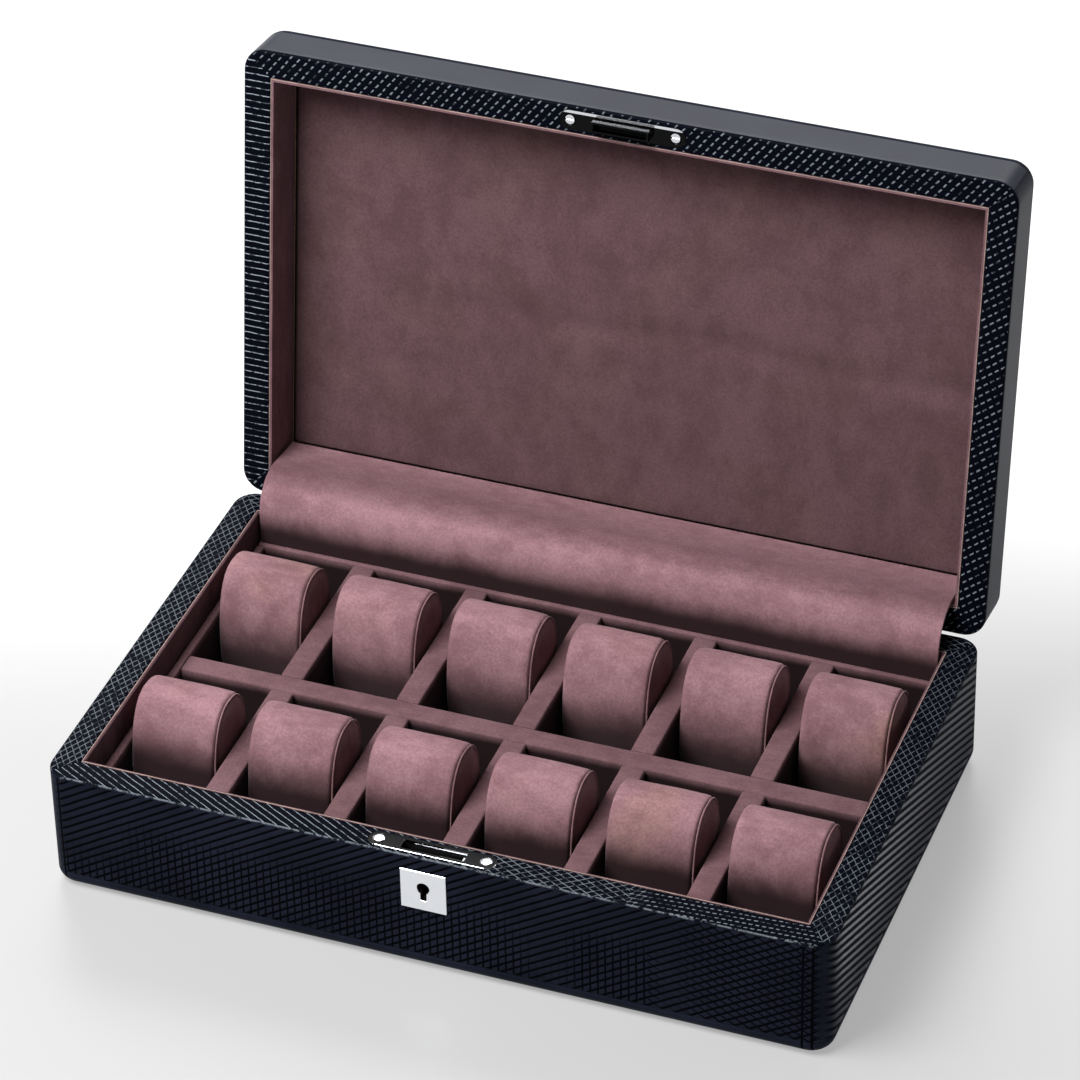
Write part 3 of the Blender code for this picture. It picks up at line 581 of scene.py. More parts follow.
class WrapShape:
    """One half's leather, swept round the case as a closed skin.

    The section is a list of (inset, depth, zone): inset from the outside wall, depth from the
    rim.  Each ring of the skin holds one section point all the way round.
    """

    STRAIGHT_STEPS = {"x": 34, "y": 22}
    CORNER_TURNS = (0.0, 11.0, 22.0, 33.0, 42.0, 45.0, 48.0, 57.0, 68.0, 79.0, 90.0)
    CORNERS = ((1, -1), (1, 1), (-1, 1), (-1, -1))
    LEAST_RADIUS = 0.02 * MM
    LIP = 0.5 * MM
    LIP_BEVEL = 0.15 * MM
    WELD = 0.03 * MM

    def __init__(self, low, high, rim_z, inward, far_radius, settings, open_window):
        self.rim_z, self.inward = rim_z, inward
        self.settings = settings
        self.height = high.z - low.z
        self.far_radius = far_radius
        self.open_window = open_window
        self.rubbing = 1.0 if open_window else 0.35
        self.middle = (low + high) / 2
        self.half = (high - low) / 2

    def section(self):
        """The outside, from under the rim to under the foot, or to the middle of the lid's top."""
        s, lip, bevel = self.settings, self.LIP, self.LIP_BEVEL
        height, edge, far = self.height, s.rim_edge, self.far_radius
        points = [(RIM_WIDTH, s.thickness, "rim"), (RIM_WIDTH, lip, "rim"),
                  (RIM_WIDTH - bevel, bevel, "rim")]
        points += [(inset, 0.0, "rim") for inset in spread(RIM_WIDTH - lip, edge, 9)]
        points += [(x, y, "edge") for x, y in arc((edge, edge), edge, 270, 180, 5)][1:]
        if self.open_window:
            seam = height - s.foot_height
            points += [(0.0, depth, "wall") for depth in spread(edge, seam - lip, 14)[1:]]
            points += [(s.seam_depth, seam, "foot"), (0.0, seam + lip, "foot")]
        else:
            points += [(0.0, depth, "wall") for depth in spread(edge, height - far - lip, 8)[1:]]
        points += [(x, y, "foot") for x, y in arc((far, height - far), far, 180, 90, 10)]
        if self.open_window:
            return points + [(FOOT_RETURN, depth, "foot") for depth in (height, height - s.thickness)]
        return points + [(inset, height, "far") for inset in (far + 4 * MM, far + 12 * MM, TOP_REACH)]

    def inside(self):
        """The hidden face, from the foot or the lid's top back to the rim."""
        thick, far, height = self.settings.thickness, self.far_radius, self.height
        points = [] if self.open_window else [(TOP_REACH, height - thick, "hidden")]
        points += [(x, y, "hidden") for x, y in arc((far, height - far), far - thick, 90, 180, 4)]
        return points + [(thick, thick, "hidden")]

    def ring(self, inset, depth):
        """Points all the way round for one section point, from the left-hand front corner."""
        radius = max(self.settings.corner_radius * (1.0 - inset / RIM_WIDTH), self.LEAST_RADIUS)
        z = self.rim_z + self.inward * depth

        def on_corner(index, turn):
            here = math.radians(90 * (index - 1) + turn)
            sign_x, sign_y = self.CORNERS[index % len(self.CORNERS)]
            return Vector((self.middle.x + sign_x * (self.half.x - inset - radius)
                           + radius * math.cos(here),
                           self.middle.y + sign_y * (self.half.y - inset - radius)
                           + radius * math.sin(here), z))
        points = []
        for index in range(len(self.CORNERS)):
            start, end = on_corner(index - 1, 90.0), on_corner(index, 0.0)
            steps = self.STRAIGHT_STEPS["xy"[index % 2]]
            points += [start.lerp(end, step / steps) for step in range(1, steps)]
            points += [on_corner(index, turn) for turn in self.CORNER_TURNS]
        return points

    def build(self, layout):
        """The closed skin, with its line layout in four UV maps."""
        section = self.section() + self.inside()
        mitres = self.mitre_places()
        bm = bmesh.new()
        levels = [[bm.verts.new(point) for point in self.ring(inset, depth)]
                  for inset, depth, _ in section]
        for (inset, depth, zone), level in zip(section, levels):
            if zone in ("rim", "edge") and inset < RIM_WIDTH - 2 * self.LIP_BEVEL:
                for index in mitres:
                    level[index].co.z += self.inward * self.settings.seam_depth
        maps = {name: bm.loops.layers.uv.new(name) for name in ("lines", "shares", "zones", "seams")}
        caps = []
        if not self.open_window:
            top = next(index for index, point in enumerate(section) if point[0] == TOP_REACH)
            caps = [top, top + 1]
        for lower, ring in enumerate(levels):
            upper = (lower + 1) % len(levels)
            if [lower, upper] == caps:
                continue
            zone = section[upper][2]
            for index in range(len(ring)):
                after = (index + 1) % len(ring)
                face = bm.faces.new((ring[index], ring[after], levels[upper][after],
                                     levels[upper][index]))
                self.mark(face, maps, self.side_of(index, mitres), zone, layout)
        for cap, zone in zip(caps, ("far", "hidden")):
            self.mark(bm.faces.new(levels[cap]), maps, "front", zone, layout)
        bmesh.ops.remove_doubles(bm, verts=bm.verts, dist=self.WELD)
        return bm

    def mitre_places(self):
        """Indices of the ring points on the four mitres."""
        places, start = [], 0
        for axis in "xyxy":
            start += self.STRAIGHT_STEPS[axis] - 1
            places.append(start + self.CORNER_TURNS.index(45.0))
            start += len(self.CORNER_TURNS)
        return places

    @staticmethod
    def side_of(index, mitres):
        """The side that a ring point lies on; the ring starts after the left-hand front mitre."""
        return next((side for side, mitre in zip(SIDES, mitres) if index < mitre), SIDES[0])

    def mark(self, face, maps, side, zone, layout):
        """Where the corners of a face lie in the pattern, and how strong each family is there."""
        edge = self.settings.rim_edge
        along, _, depth = self.place(face.calc_center_median(), side)
        *angles, closeness, (_, _, _, kind) = layout(side, zone, along, depth)
        pitch = self.settings.rib_pitch / closeness
        rubbing = self.rubbing if side == "front" else 0.4 * self.rubbing
        front_wall = side == "front" and zone in ("wall", "foot") and self.open_window
        for loop in face.loops:
            along, inset, depth = self.place(loop.vert.co, side)
            first, second, painted_sheen_and_coat, _ = layout(side, zone, along, depth)[3]
            up = inset if zone in ("rim", "edge") else -depth
            fade, rubbed = 1.0, 0.0
            if zone == "far":
                along, up = loop.vert.co.x, loop.vert.co.y
            if zone == "edge":
                fade = max(1.0 - depth / edge, 0.0)
                rubbed = max(1.0 - abs(inset - 0.3 * edge) / (0.6 * edge), 0.0)
            loop[maps["lines"]].uv = [(up * math.cos(turn) - along * math.sin(turn)) / pitch
                                      for turn in angles]
            loop[maps["shares"]].uv = (first * fade, second * fade)
            loop[maps["zones"]].uv = (painted_sheen_and_coat, kind * fade)
            loop[maps["seams"]].uv = (rubbed * rubbing, along if front_wall else 1.0)

    def place(self, point, side):
        """Distance along a side from its middle, inset from its wall and depth from the rim."""
        local = point - self.middle
        along = {"front": local.x, "right": local.y, "back": -local.x, "left": -local.y}[side]
        axis = 1 if side in ("front", "back") else 0
        return along, self.half[axis] - abs(local[axis]), self.inward * (point.z - self.rim_z)


# A layout gives two line angles, how close the lines lie, and (first family's strength, second
# family's strength, painted sheen with its clear coat, kind of surface).
WALL, LINED, DOTTED = 0.0, 1.0, 2.0
PLAIN = (0.0, 0.0, 1.0, (0.0, 0.0, 0.0, WALL))
DASHES = (0.0, 0.0, 0.0, DOTTED)
FACE_TILT = math.radians(32)
END_TILT = math.radians(-25)
UPRIGHT = math.radians(90)
LATTICE = (math.radians(-28), math.radians(36), 1.2)
FRONT_DASHES = (math.radians(3), math.radians(64), 1.35)
DASHES_START = 88 * MM
CHEVRON_START = 95 * MM


def base_layout(side, zone, along, depth):
    """Ribs on the base's walls, crossed in places, and lattices and dashes on its rims."""
    if zone in ("hidden", "foot", "far"):
        return PLAIN
    if zone in ("rim", "edge"):
        if side == "front" and along > DASHES_START:
            return *FRONT_DASHES, DASHES
        crossed = soft_step(along, -40 * MM, 50 * MM) if side == "front" else 1.0
        strength = {"front": 0.74 - 0.26 * soft_step(along, -30 * MM, 60 * MM),
                    "right": 0.40 - 0.15 * soft_step(along, -60 * MM, 60 * MM)}.get(side, 0.44)
        return *LATTICE, (strength, 0.9 * crossed * strength, 0.0, LINED)
    if side in ("right", "left"):
        reach = 98.5 * MM - abs(along)
        toward_back = along if side == "right" else -along
        ahead = soft_step(-toward_back, -60 * MM, 70 * MM)
        # Painted sheen on the end walls' ribs: strongest towards the front and the rim, gone at the
        # corners.
        painted_sheen_and_coat = soft_step(reach, -4 * MM, 12 * MM) * (0.35 + 0.65 * ahead)
        painted_sheen_and_coat *= 1.0 - 0.85 * soft_step(depth, 14 * MM, 50 * MM)
        return END_TILT, UPRIGHT, 0.9, (soft_step(reach, -6 * MM, -1 * MM), 0.0, painted_sheen_and_coat, WALL)
    ribbed = soft_step(167.5 * MM - along, 0.0, 4 * MM) * soft_step(along + 165 * MM, 0.0, 2 * MM)
    if along > CHEVRON_START:
        chevron = soft_step(along, CHEVRON_START, 120 * MM)
        return FACE_TILT, -FACE_TILT, 1.0, (ribbed, chevron * ribbed, 0.0, WALL)
    patch = 0.5 + 0.5 * noise.noise(Vector((along * 28, depth * 20, SIDES.index(side) * 3.1)))
    crossed = soft_step(depth, 10 * MM, 30 * MM) * soft_step(patch, 0.22, 0.45)
    return FACE_TILT, UPRIGHT, 1.0, (ribbed, crossed * ribbed, 0.0, WALL)


def lid_layout(side, zone, along, depth):
    """Bars on the lid's left rim, dashes on its other rims, and nearly smooth walls."""
    if zone in ("hidden", "foot"):
        return PLAIN
    if zone == "far":
        return FACE_TILT, -FACE_TILT, 1.0, (0.7, 0.0, 0.0, WALL)
    if zone == "wall":
        # Painted sheen on the lid's walls.
        painted_sheen_and_coat = {"front": 0.40, "right": 0.12}.get(side, 0.25)
        return FACE_TILT, UPRIGHT, 1.0, (0.0, 0.0, painted_sheen_and_coat, WALL)
    if side == "left":
        return UPRIGHT, 0.0, 1.05, (1.0, 0.0, 0.0, LINED)
    lean = math.radians(52 if side == "right" else -52)
    return lean, -0.35 * lean, 1.05, DASHES


def plate_cutter(low, high):
    """A shape with half-round ends that leaves room for a plate."""
    gap = Vector.Fill(3, FITTING_GAP)
    low, high = low - gap, Vector((*(high + gap).xy, high.z + CUT_PAST))
    bm = block(low, high)
    upright = [e for e in bm.edges if abs((e.verts[0].co - e.verts[1].co).normalized().z) > 0.99]
    bmesh.ops.bevel(bm, geom=upright, offset=(high.y - low.y) / 2 * 0.96, segments=8, profile=0.5,
                    affect="EDGES")
    return bm


def hinge_cutters(low_z, high_z):
    """Room for the hinge leaves, measured from the hinge axis."""
    return [block((low.x - FITTING_GAP, -LEAF_REACH, low_z), (high.x + FITTING_GAP, CUT_PAST, high_z))
            for low, high in (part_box(f"hinge_{side}_base_leaf") for side in ("left", "right"))]


class WATCHBOX_OT_leather(Operator):
    """Wrap the base and the lid in embossed leather"""
    bl_idname = "watchbox.leather"
    bl_label = "Leather Wraps"

    def execute(self, context):
        settings = context.scene.watchbox_leather
        finish = embossed_leather(settings)
        self.base(settings, finish)
        self.lid(settings, finish)
        return {"FINISHED"}

    def base(self, settings, finish):
        low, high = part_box("base_leather_wrap")
        shape = WrapShape(low, high, high.z, -1.0, settings.base_edge, settings, True)
        piece = new_piece("base_leather", shape.build(base_layout), finish, None,
                          ["base_leather_wrap"])
        low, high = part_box("lock_escutcheon")
        gap = FITTING_GAP
        bed = block((low.x - gap, low.y - CUT_PAST, low.z - gap),
                    (high.x + gap, high.y + gap + 1 * MM, high.z + gap))
        leaves = hinge_cutters(-LEAF_CUT, CUT_PAST)
        for cutter in leaves:
            bmesh.ops.translate(cutter, verts=cutter.verts, vec=HINGE)
        carve(piece, [plate_cutter(*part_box("lock_face_plate")), bed] + leaves)
        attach(piece, "case")

    def lid(self, settings, finish):
        low, high = lid_box("lid_leather_wrap")
        shape = WrapShape(low, high, low.z, 1.0, settings.lid_edge, settings, False)
        piece = new_piece("lid_leather", shape.build(lid_layout), finish, None,
                          ["lid_leather_wrap"])
        plate_low, plate_high = lid_box("strike_plate")
        plate_low.z, plate_high.z = -CUT_PAST, low.z + settings.thickness
        carve(piece, [plate_cutter(plate_low, plate_high)] + hinge_cutters(-CUT_PAST, LEAF_CUT))
        piece.data.transform(LID_TURN)
        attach(piece, "lid")


# Suede

def rounded_section(half_a, half_b, radius, steps=4):
    """Points of a rectangle with round corners."""
    points = []
    for sign_a, sign_b, start in ((1, 1, 0), (-1, 1, 90), (-1, -1, 180), (1, -1, 270)):
        centre = (sign_a * (half_a - radius), sign_b * (half_b - radius))
        points += arc(centre, radius, start, start + 90, steps)
    return points


def soft_bar(low, high, seed, radius=0.9 * MM, reach=0.10 * MM):
    """A suede-covered strip: rounded along its length, a little uneven, closed at both ends."""
    size = high - low
    axis = 0 if size.x > size.y else 1
    across = 1 - axis
    middle = (low + high) / 2
    half = size[axis] / 2
    ends = [(-half, radius), (-half + radius * 0.3, radius * 0.3)]
    stations = ends + [(place, 0.0) for place in
                       spread(-half + radius, half - radius, max(6, round(size[axis] / (5 * MM))))]
    stations += [(-place, inset) for place, inset in reversed(ends)]
    rings = []
    for place, inset in stations:
        ring = []
        for a, b in rounded_section(size[across] / 2 - inset, size.z / 2 - inset, radius):
            point = Vector((0.0, 0.0, middle.z + b))
            point[axis] = middle[axis] + place
            point[across] = middle[across] + a
            lift = wobble(point, 9 * MM, reach, seed) - reach
            if abs(b) < size.z / 2 - inset - radius:
                point[across] += math.copysign(lift, a)
            if b > 0:
                point.z += lift
            ring.append(point)
        rings.append(ring)
    return loft(rings)


def edge_frame(low, high, z, width=0.45 * MM, height=0.16 * MM):
    """A thin rounded strip round the outer edge of an opening's lining, with mitred corners."""
    middle = (low + high) / 2
    section = [(width * (0.5 + 0.5 * math.cos(turn)), height * math.sin(turn))
               for turn in spread(0.0, 2 * math.pi, 12)[:-1]]
    rings = []
    for corner_x, corner_y in ((1, -1), (1, 1), (-1, 1), (-1, -1), (1, -1)):
        rings.append([Vector((middle.x + corner_x * ((high.x - low.x) / 2 - inset),
                              middle.y + corner_y * ((high.y - low.y) / 2 - inset), z + lift))
                      for inset, lift in section])
    bm = loft(rings, capped=False)
    bmesh.ops.remove_doubles(bm, verts=bm.verts, dist=0.005 * MM)
    return bm


class WATCHBOX_OT_tray(Operator):
    """Cover the tray's rails and dividers in suede and line the walls"""
    bl_idname = "watchbox.tray"
    bl_label = "Tray and Linings"

    BUTT_GAP = 0.05 * MM

    def execute(self, context):
        settings = context.scene.watchbox_suede
        # Painted shade: a darker copy of the suede that darkens further just below the covers' tops.
        finish = suede("tray_suede", settings, 0.60, 0.3, 0.8, ((39.5 * MM, 44 * MM, 0.97),))
        covers = [(f"{side}_rail_cover", f"tray_{side}_rail", float(count))
                  for count, side in enumerate(("front", "back", "left", "right"))]
        for name, node, seed in covers + [("long_divider_cover", "tray_long_divider", 5.0)]:
            new_piece(name, soft_bar(*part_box(node), seed), finish, "case", [node])
        for count in range(1, COLUMNS):
            self.cross_divider(count, finish)
        # Painted shade: a much darker copy of the suede on the tray floor.
        paint("tray_floor", suede("floor_suede", settings, 0.25, 0.2))
        self.linings(settings)
        return {"FINISHED"}

    def cross_divider(self, count, finish):
        """Two strips that butt against the long divider."""
        node = f"tray_cross_divider_{count}"
        low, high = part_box(node)
        near, far = [corner.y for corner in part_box("tray_long_divider")]
        for part, start, end in (("front", low.y, near - self.BUTT_GAP),
                                 ("rear", far + self.BUTT_GAP, high.y)):
            bm = soft_bar(Vector((low.x, start, low.z)), Vector((high.x, end, high.z)),
                          count * 1.7 + (part == "rear"))
            new_piece(f"cross_divider_cover_{part}_{count}", bm, finish, "case",
                      [node] if part == "front" else [])

    def linings(self, settings):
        """Suede on the lining boards, with a thin pale raw edge round each opening."""
        # Painted shade: darker copies of the suede on the linings, and the base linings darken towards
        # the bottom.
        lining = suede("lining_suede", settings, 0.45, 0.15, shaded=((36 * MM, 60 * MM, 0.9),))
        for side in SIDES:
            paint(f"base_{side}_lining", lining)
        paint("lid_lining", suede("lid_lining_suede", settings, 0.70, 0.0))
        pale = raw_edge("lining_raw_edge", settings.edge_tone)
        low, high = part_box("base_front_lining")
        high.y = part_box("base_back_lining")[1].y
        new_piece("base_lining_edge", edge_frame(low, high, high.z), pale, "case")
        low, high = lid_box("lid_lining")
        new_piece("lid_lining_edge", edge_frame(low, high, low.z), pale, "lid", (),
                  LID_TURN)


class WATCHBOX_OT_lid_pad(Operator):
    """Pad the inside of the lid"""
    bl_idname = "watchbox.lid_pad"
    bl_label = "Lid Pad"

    STEPS_X = 130
    STEPS_Y = 84
    ROLL = 3.2 * MM
    ROLL_DEPTH = 2.6 * MM
    WAVE = 0.22 * MM
    CREASE_Y = -100 * MM
    CREASE_WIDTH = 6 * MM
    CREASE_DEPTH = 0.9 * MM

    def execute(self, context):
        low, high = lid_box("lid_pad")
        middle, size = (low + high) / 2, high - low
        bm = bmesh.new()
        grid = Matrix.Translation((middle.x, middle.y, low.z))
        bmesh.ops.create_grid(bm, x_segments=self.STEPS_X, y_segments=self.STEPS_Y, size=1.0,
                              matrix=grid @ Matrix.Diagonal((size.x / 2, size.y / 2, 1.0, 1.0)))
        marks = bm.loops.layers.uv.new("seams")
        for face in bm.faces:
            for loop in face.loops:
                # The border marked here gets painted shade in the suede.
                loop[marks].uv = (float(loop.vert.is_boundary), 0.0)
        for vert in bm.verts:
            edge = min(vert.co.x - low.x, high.x - vert.co.x, vert.co.y - low.y, high.y - vert.co.y)
            vert.co.z += self.sink(vert.co, max(edge, 0.0))
        border = [edge for edge in bm.edges if edge.is_boundary]
        skirt = bmesh.ops.extrude_edge_only(bm, edges=border)["geom"]
        for item in skirt:
            if isinstance(item, bmesh.types.BMVert):
                item.co.z = high.z
        rim = [item for item in skirt if isinstance(item, bmesh.types.BMEdge) and item.is_boundary]
        bmesh.ops.contextual_create(bm, geom=rim)
        # Painted shade: a darker copy of the suede, darkened further round the pad's border.
        finish = suede("pad_suede", context.scene.watchbox_suede, 0.45, 0.45, 0.75, painted_seam_and_border_shade=True)
        piece = new_piece("lid_inner_pad", bm, finish, "lid", ["lid_pad"], LID_TURN)
        return {"FINISHED"}

    def sink(self, point, edge):
        """How far the face falls back: a rolled edge, slow waves and one soft crease."""
        roll = self.ROLL_DEPTH * (1.0 - soft_step(edge, 0.0, self.ROLL)) ** 2
        waves = (self.WAVE + wobble(point, 45 * MM, self.WAVE, 3.0)
                 + wobble(point, 12 * MM, 0.05 * MM, 7.0))
        crease_y = self.CREASE_Y + wobble((point.x, 0, 0), 70 * MM, 6 * MM, 1.0)
        crease = self.CREASE_DEPTH * math.exp(-((point.y - crease_y) / self.CREASE_WIDTH) ** 2)
        return roll + waves + crease * soft_step(point.x, -120 * MM, -30 * MM)


class WATCHBOX_OT_gusset(Operator):
    """Hang the suede gusset from the lid into the base, over the hinges"""
    bl_idname = "watchbox.gusset"
    bl_label = "Hinge Gusset"

    SECTIONS = 70
    ARC_STEPS = 26
    THICKNESS = 1.5 * MM
    RADIUS = 15.5 * MM
    START = 1.5 * MM
    TOP = 21.0 * MM
    BLEND_PAST = 2 * MM
    # Painted shade: the gusset darkens towards its bottom and, less, towards its top.
    SHADES = ((50 * MM, 62 * MM, 0.97), (HINGE.z + 17 * MM, HINGE.z + 11 * MM, 0.50))

    def path(self, low_z):
        """Points (y, z) from the hinge axis, down the lid, round the axis and into the base."""
        radius, out, rise = self.RADIUS, math.cos(LID_OPEN), math.sin(LID_OPEN)
        points = [(into * rise - radius * out, radius * rise + into * out)
                  for into in spread(self.TOP, self.START, 7)]
        start = math.degrees(math.pi - LID_OPEN)
        points += arc((0.0, 0.0), radius, start, 180.0, self.ARC_STEPS)
        points += [(-radius, z) for z in spread(-self.START, low_z - HINGE.z, 6)]
        return [Vector(point) for point in points]

    def execute(self, context):
        low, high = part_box("hinge_gusset")
        line = self.path(low.z)
        last = len(line) - 1
        normals = []
        for index in range(len(line)):
            tangent = line[min(index + 1, last)] - line[max(index - 1, 0)]
            normals.append(Vector((tangent.y, -tangent.x)).normalized())
        half = self.THICKNESS / 2
        rings = []
        for x in spread(low.x, high.x, self.SECTIONS):
            front, back = [], []
            for index, (point, normal) in enumerate(zip(line, normals)):
                place = (x, point.x, point.y)
                slack = math.sin(math.pi * index / last)
                push = slack * (wobble(place, 32 * MM, 0.45 * MM, 2.0)
                                + wobble(place, 11 * MM, 0.12 * MM, 4.0))
                front.append(point - normal * (half + push))
                back.append(point + normal * (half - push))
            rings.append([Vector((x, HINGE.y + p.x, HINGE.z + p.y)) for p in front + back[::-1]])
        finish = suede("gusset_suede", context.scene.watchbox_suede, 1.16, 0.15, 0.9, self.SHADES)
        piece = new_piece("gusset_strip", loft(rings), finish, None, ["hinge_gusset"])
        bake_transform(piece)
        return {"FINISHED"}


# Cushions

class CushionShape:
    """A short pillow: a band round its section, a piped seam on the right and a turned left edge.

    PANEL, GROOVE and TURNED are (distance, inset) in millimetres: inward from the right end,
    outward from the seam, and inward from the left end.
    """

    SEAM = 1.7 * MM
    EDGE = 3.2 * MM
    CROWN = 0.16 * MM
    PIPE_INSET = 0.95 * MM
    PANEL = ((0.05, 13.0), (0.15, 9.0), (0.4, 5.5), (0.75, 3.6), (1.05, 2.6), (1.3, 1.9))
    GROOVE = ((0.1, 1.5), (-0.5, 1.6), (-0.95, 1.0), (-1.2, 0.5), (-1.9, 0.25))
    TURNED = ((2.0, 0.35), (1.2, 0.8), (0.65, 1.5), (0.4, 2.4), (0.45, 3.2), (0.25, 5.0),
              (0.1, 9.0), (0.05, 13.0))

    def __init__(self, settings, seed):
        self.settings = settings
        self.seed = seed
        self.half = settings.width / 2
        self.seam = self.half - self.SEAM

    def outline(self, inset):
        """The section drawn in by an inset, as (y, z) points."""
        s = self.settings
        points = []
        for step in range(s.round_steps):
            turn = 2 * math.pi * step / s.round_steps
            y, z = [math.copysign(abs(part) ** (2 / s.fullness), part) * (size / 2 - inset)
                    for part, size in ((math.cos(turn), s.depth), (math.sin(turn), s.height))]
            points.append((y, z))
        return points

    def stations(self):
        """Every (x, inset) of the skin: end panel, seam, band with a crown, turned edge."""
        places = [(self.half - back * MM, inset * MM) for back, inset in self.PANEL]
        places += [(self.seam + out * MM, inset * MM) for out, inset in self.GROOVE]
        places += [(x, self.CROWN * (x / self.seam) ** 2)
                   for x in spread(self.seam - self.EDGE, self.EDGE - self.half, 16)]
        return places + [(back * MM - self.half, inset * MM) for back, inset in self.TURNED]

    def cover(self):
        """The skin, with its seams and end panels marked in a UV map."""
        bm = loft([[Vector((x, *point)) for point in self.outline(inset)]
                   for x, inset in self.stations()])
        marks = bm.loops.layers.uv.new("seams")
        for face in bm.faces:
            for loop in face.loops:
                out = loop.vert.co.x - self.seam
                # This map gives painted shade in the seam groove and on the end panel.
                loop[marks].uv = (float(-0.7 * MM < out < 0.2 * MM), float(out > 0.0))
        for vert in bm.verts:
            place = vert.co.copy()
            outward = Vector((0.0, place.y, place.z * 0.5)).normalized()
            near_seam = math.exp(-((place.x - self.seam) / (2.5 * MM)) ** 2)
            pucker = near_seam * max(place.z / self.half, 0.0) ** 4
            vert.co += outward * wobble(place, 13 * MM, 0.25 * MM, self.seed)
            vert.co += outward * pucker * wobble(place, 3 * MM, 0.22 * MM, self.seed + 5.0)
        return bm

    def piping(self):
        """A thin rolled edge standing in the seam."""
        x = self.seam + 0.12 * MM
        line = [Vector(point) for point in self.outline(self.PIPE_INSET)]
        rings = []
        for index, point in enumerate(line):
            tangent = (line[(index + 1) % len(line)] - line[index - 1]).normalized()
            normal = Vector((tangent.y, -tangent.x))
            radius = self.settings.piping * (1.0 + wobble((x, *point), 3 * MM, 0.12, self.seed))
            rings.append([Vector((x + radius * math.cos(turn),
                                  *(point + normal * radius * math.sin(turn))))
                          for turn in spread(0.0, 2 * math.pi, 8)[:-1]])
        bm = loft(rings + rings[:1], capped=False)
        bmesh.ops.remove_doubles(bm, verts=bm.verts, dist=0.01 * MM)
        return bm


class WATCHBOX_OT_cushions(Operator):
    """Sew and stuff the twelve cushions"""
    bl_idname = "watchbox.cushions"
    bl_label = "Cushions"

    # Painted shade: the cushions darken towards their bottoms, the front row more.
    SHADES = {"front": ((37 * MM, 55 * MM, 0.97),), "rear": ((27 * MM, 50 * MM, 0.90),)}
    SHARP = math.radians(75)

    def execute(self, context):
        settings = context.scene.watchbox_cushion
        tones = context.scene.watchbox_suede
        finishes = {row: [suede(f"{row}_cushion_suede", tones, 1.12, 0.25, 1.0, shades, True),
                          suede(f"{row}_cushion_suede_warm", tones, 1.10, 0.9, 1.0, shades, True)]
                    for row, shades in self.SHADES.items()}
        edge = suede("piping_suede", tones, 1.0, 1.0)
        for row_count, row in enumerate(ROWS):
            for column in range(1, COLUMNS + 1):
                name = f"cushion_{row}_{column}"
                low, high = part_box(name)
                shape = CushionShape(settings, row_count * 10.0 + column * 1.3)
                turn = Matrix.Translation((low + high) / 2) @ Matrix.Rotation(-settings.lean, 4, "X")
                warm = (row_count * 2 + column * 3) % 5 == 0
                cover = new_piece(f"{name}_cover", shape.cover(), finishes[row][warm], name,
                                  [name], turn, self.SHARP)
                new_piece(f"{name}_piping", shape.piping(), edge, name, [], turn)
        return {"FINISHED"}


# Hardware, woodwork and stage

class WATCHBOX_OT_hardware(Operator):
    """Finish the lock, the strike and the hinges"""
    bl_idname = "watchbox.hardware"
    bl_label = "Lock, Strike and Hinges"

    SHARP = math.radians(50)

    def execute(self, context):
        settings = context.scene.watchbox_metal
        plate_top, strike_back = [max(corner[2] for corner in NODES[node].bound_box)
                                  for node in ("lock_face_plate", "strike_plate")]
        strike_face = strike_back - settings.strike_thickness
        chrome = settings.chrome
        special = {
            # The flat faces of the lock plate and the strike plate get a painted dark reflection.
            "lock_face_plate": metal("face_plate_chrome", chrome, 0.10, 0.03, 0.05, (plate_top, 1.0)),
            "strike_plate": metal("strike_plate_chrome", chrome, 0.10, 0.03, 0.05, (strike_face, -1.0)),
            "lock_escutcheon": metal("polished_chrome", chrome, 0.07, 0.03, 0.05),
            "lock_case": metal("lock_case_steel", scaled(settings.steel, 0.04), 0.5, 0.1),
        }
        steel = metal("lock_steel", settings.steel, 0.22, 0.15, 0.25)
        bright = metal("screw_steel", chrome, 0.20, 0.05, 0.1)
        hinge = metal("hinge_steel", settings.steel, 0.28, 0.12, 0.3)
        for node in NODES:
            if node in special:
                self.finish_node(node, special[node])
            elif node.startswith("hinge_") and node != "hinge_gusset":
                self.finish_node(node, hinge)
            elif "screw" in node:
                self.finish_node(node, bright)
            elif node.startswith(("lock_", "strike_")):
                self.finish_node(node, steel)
        return {"FINISHED"}

    def finish_node(self, node, finish):
        """Paint a node and shade it with its broad faces flat."""
        paint(node, finish)
        piece = NODES[node]
        piece.data.shade_smooth()
        piece.data.set_sharp_from_angle(angle=self.SHARP)
        evened = piece.modifiers.new("evened", "WEIGHTED_NORMAL")
        evened.keep_sharp = True
        evened.weight = 100


class WATCHBOX_OT_woodwork(Operator):
    """Finish the boards of the carcase and the felt under it"""
    bl_idname = "watchbox.woodwork"
    bl_label = "Boards and Underside"

    def execute(self, context):
        wood = case_wood("case_wood")
        for node in NODES:
            if node.endswith("_board"):
                paint(node, wood)
        # The front board is drawn nearly black: painted shade inside the keyhole.
        paint("base_front_board", case_wood("keyhole_shade_board", 0.03))
        paint("base_underside_cover", black_felt("underside_felt"))
        return {"FINISHED"}


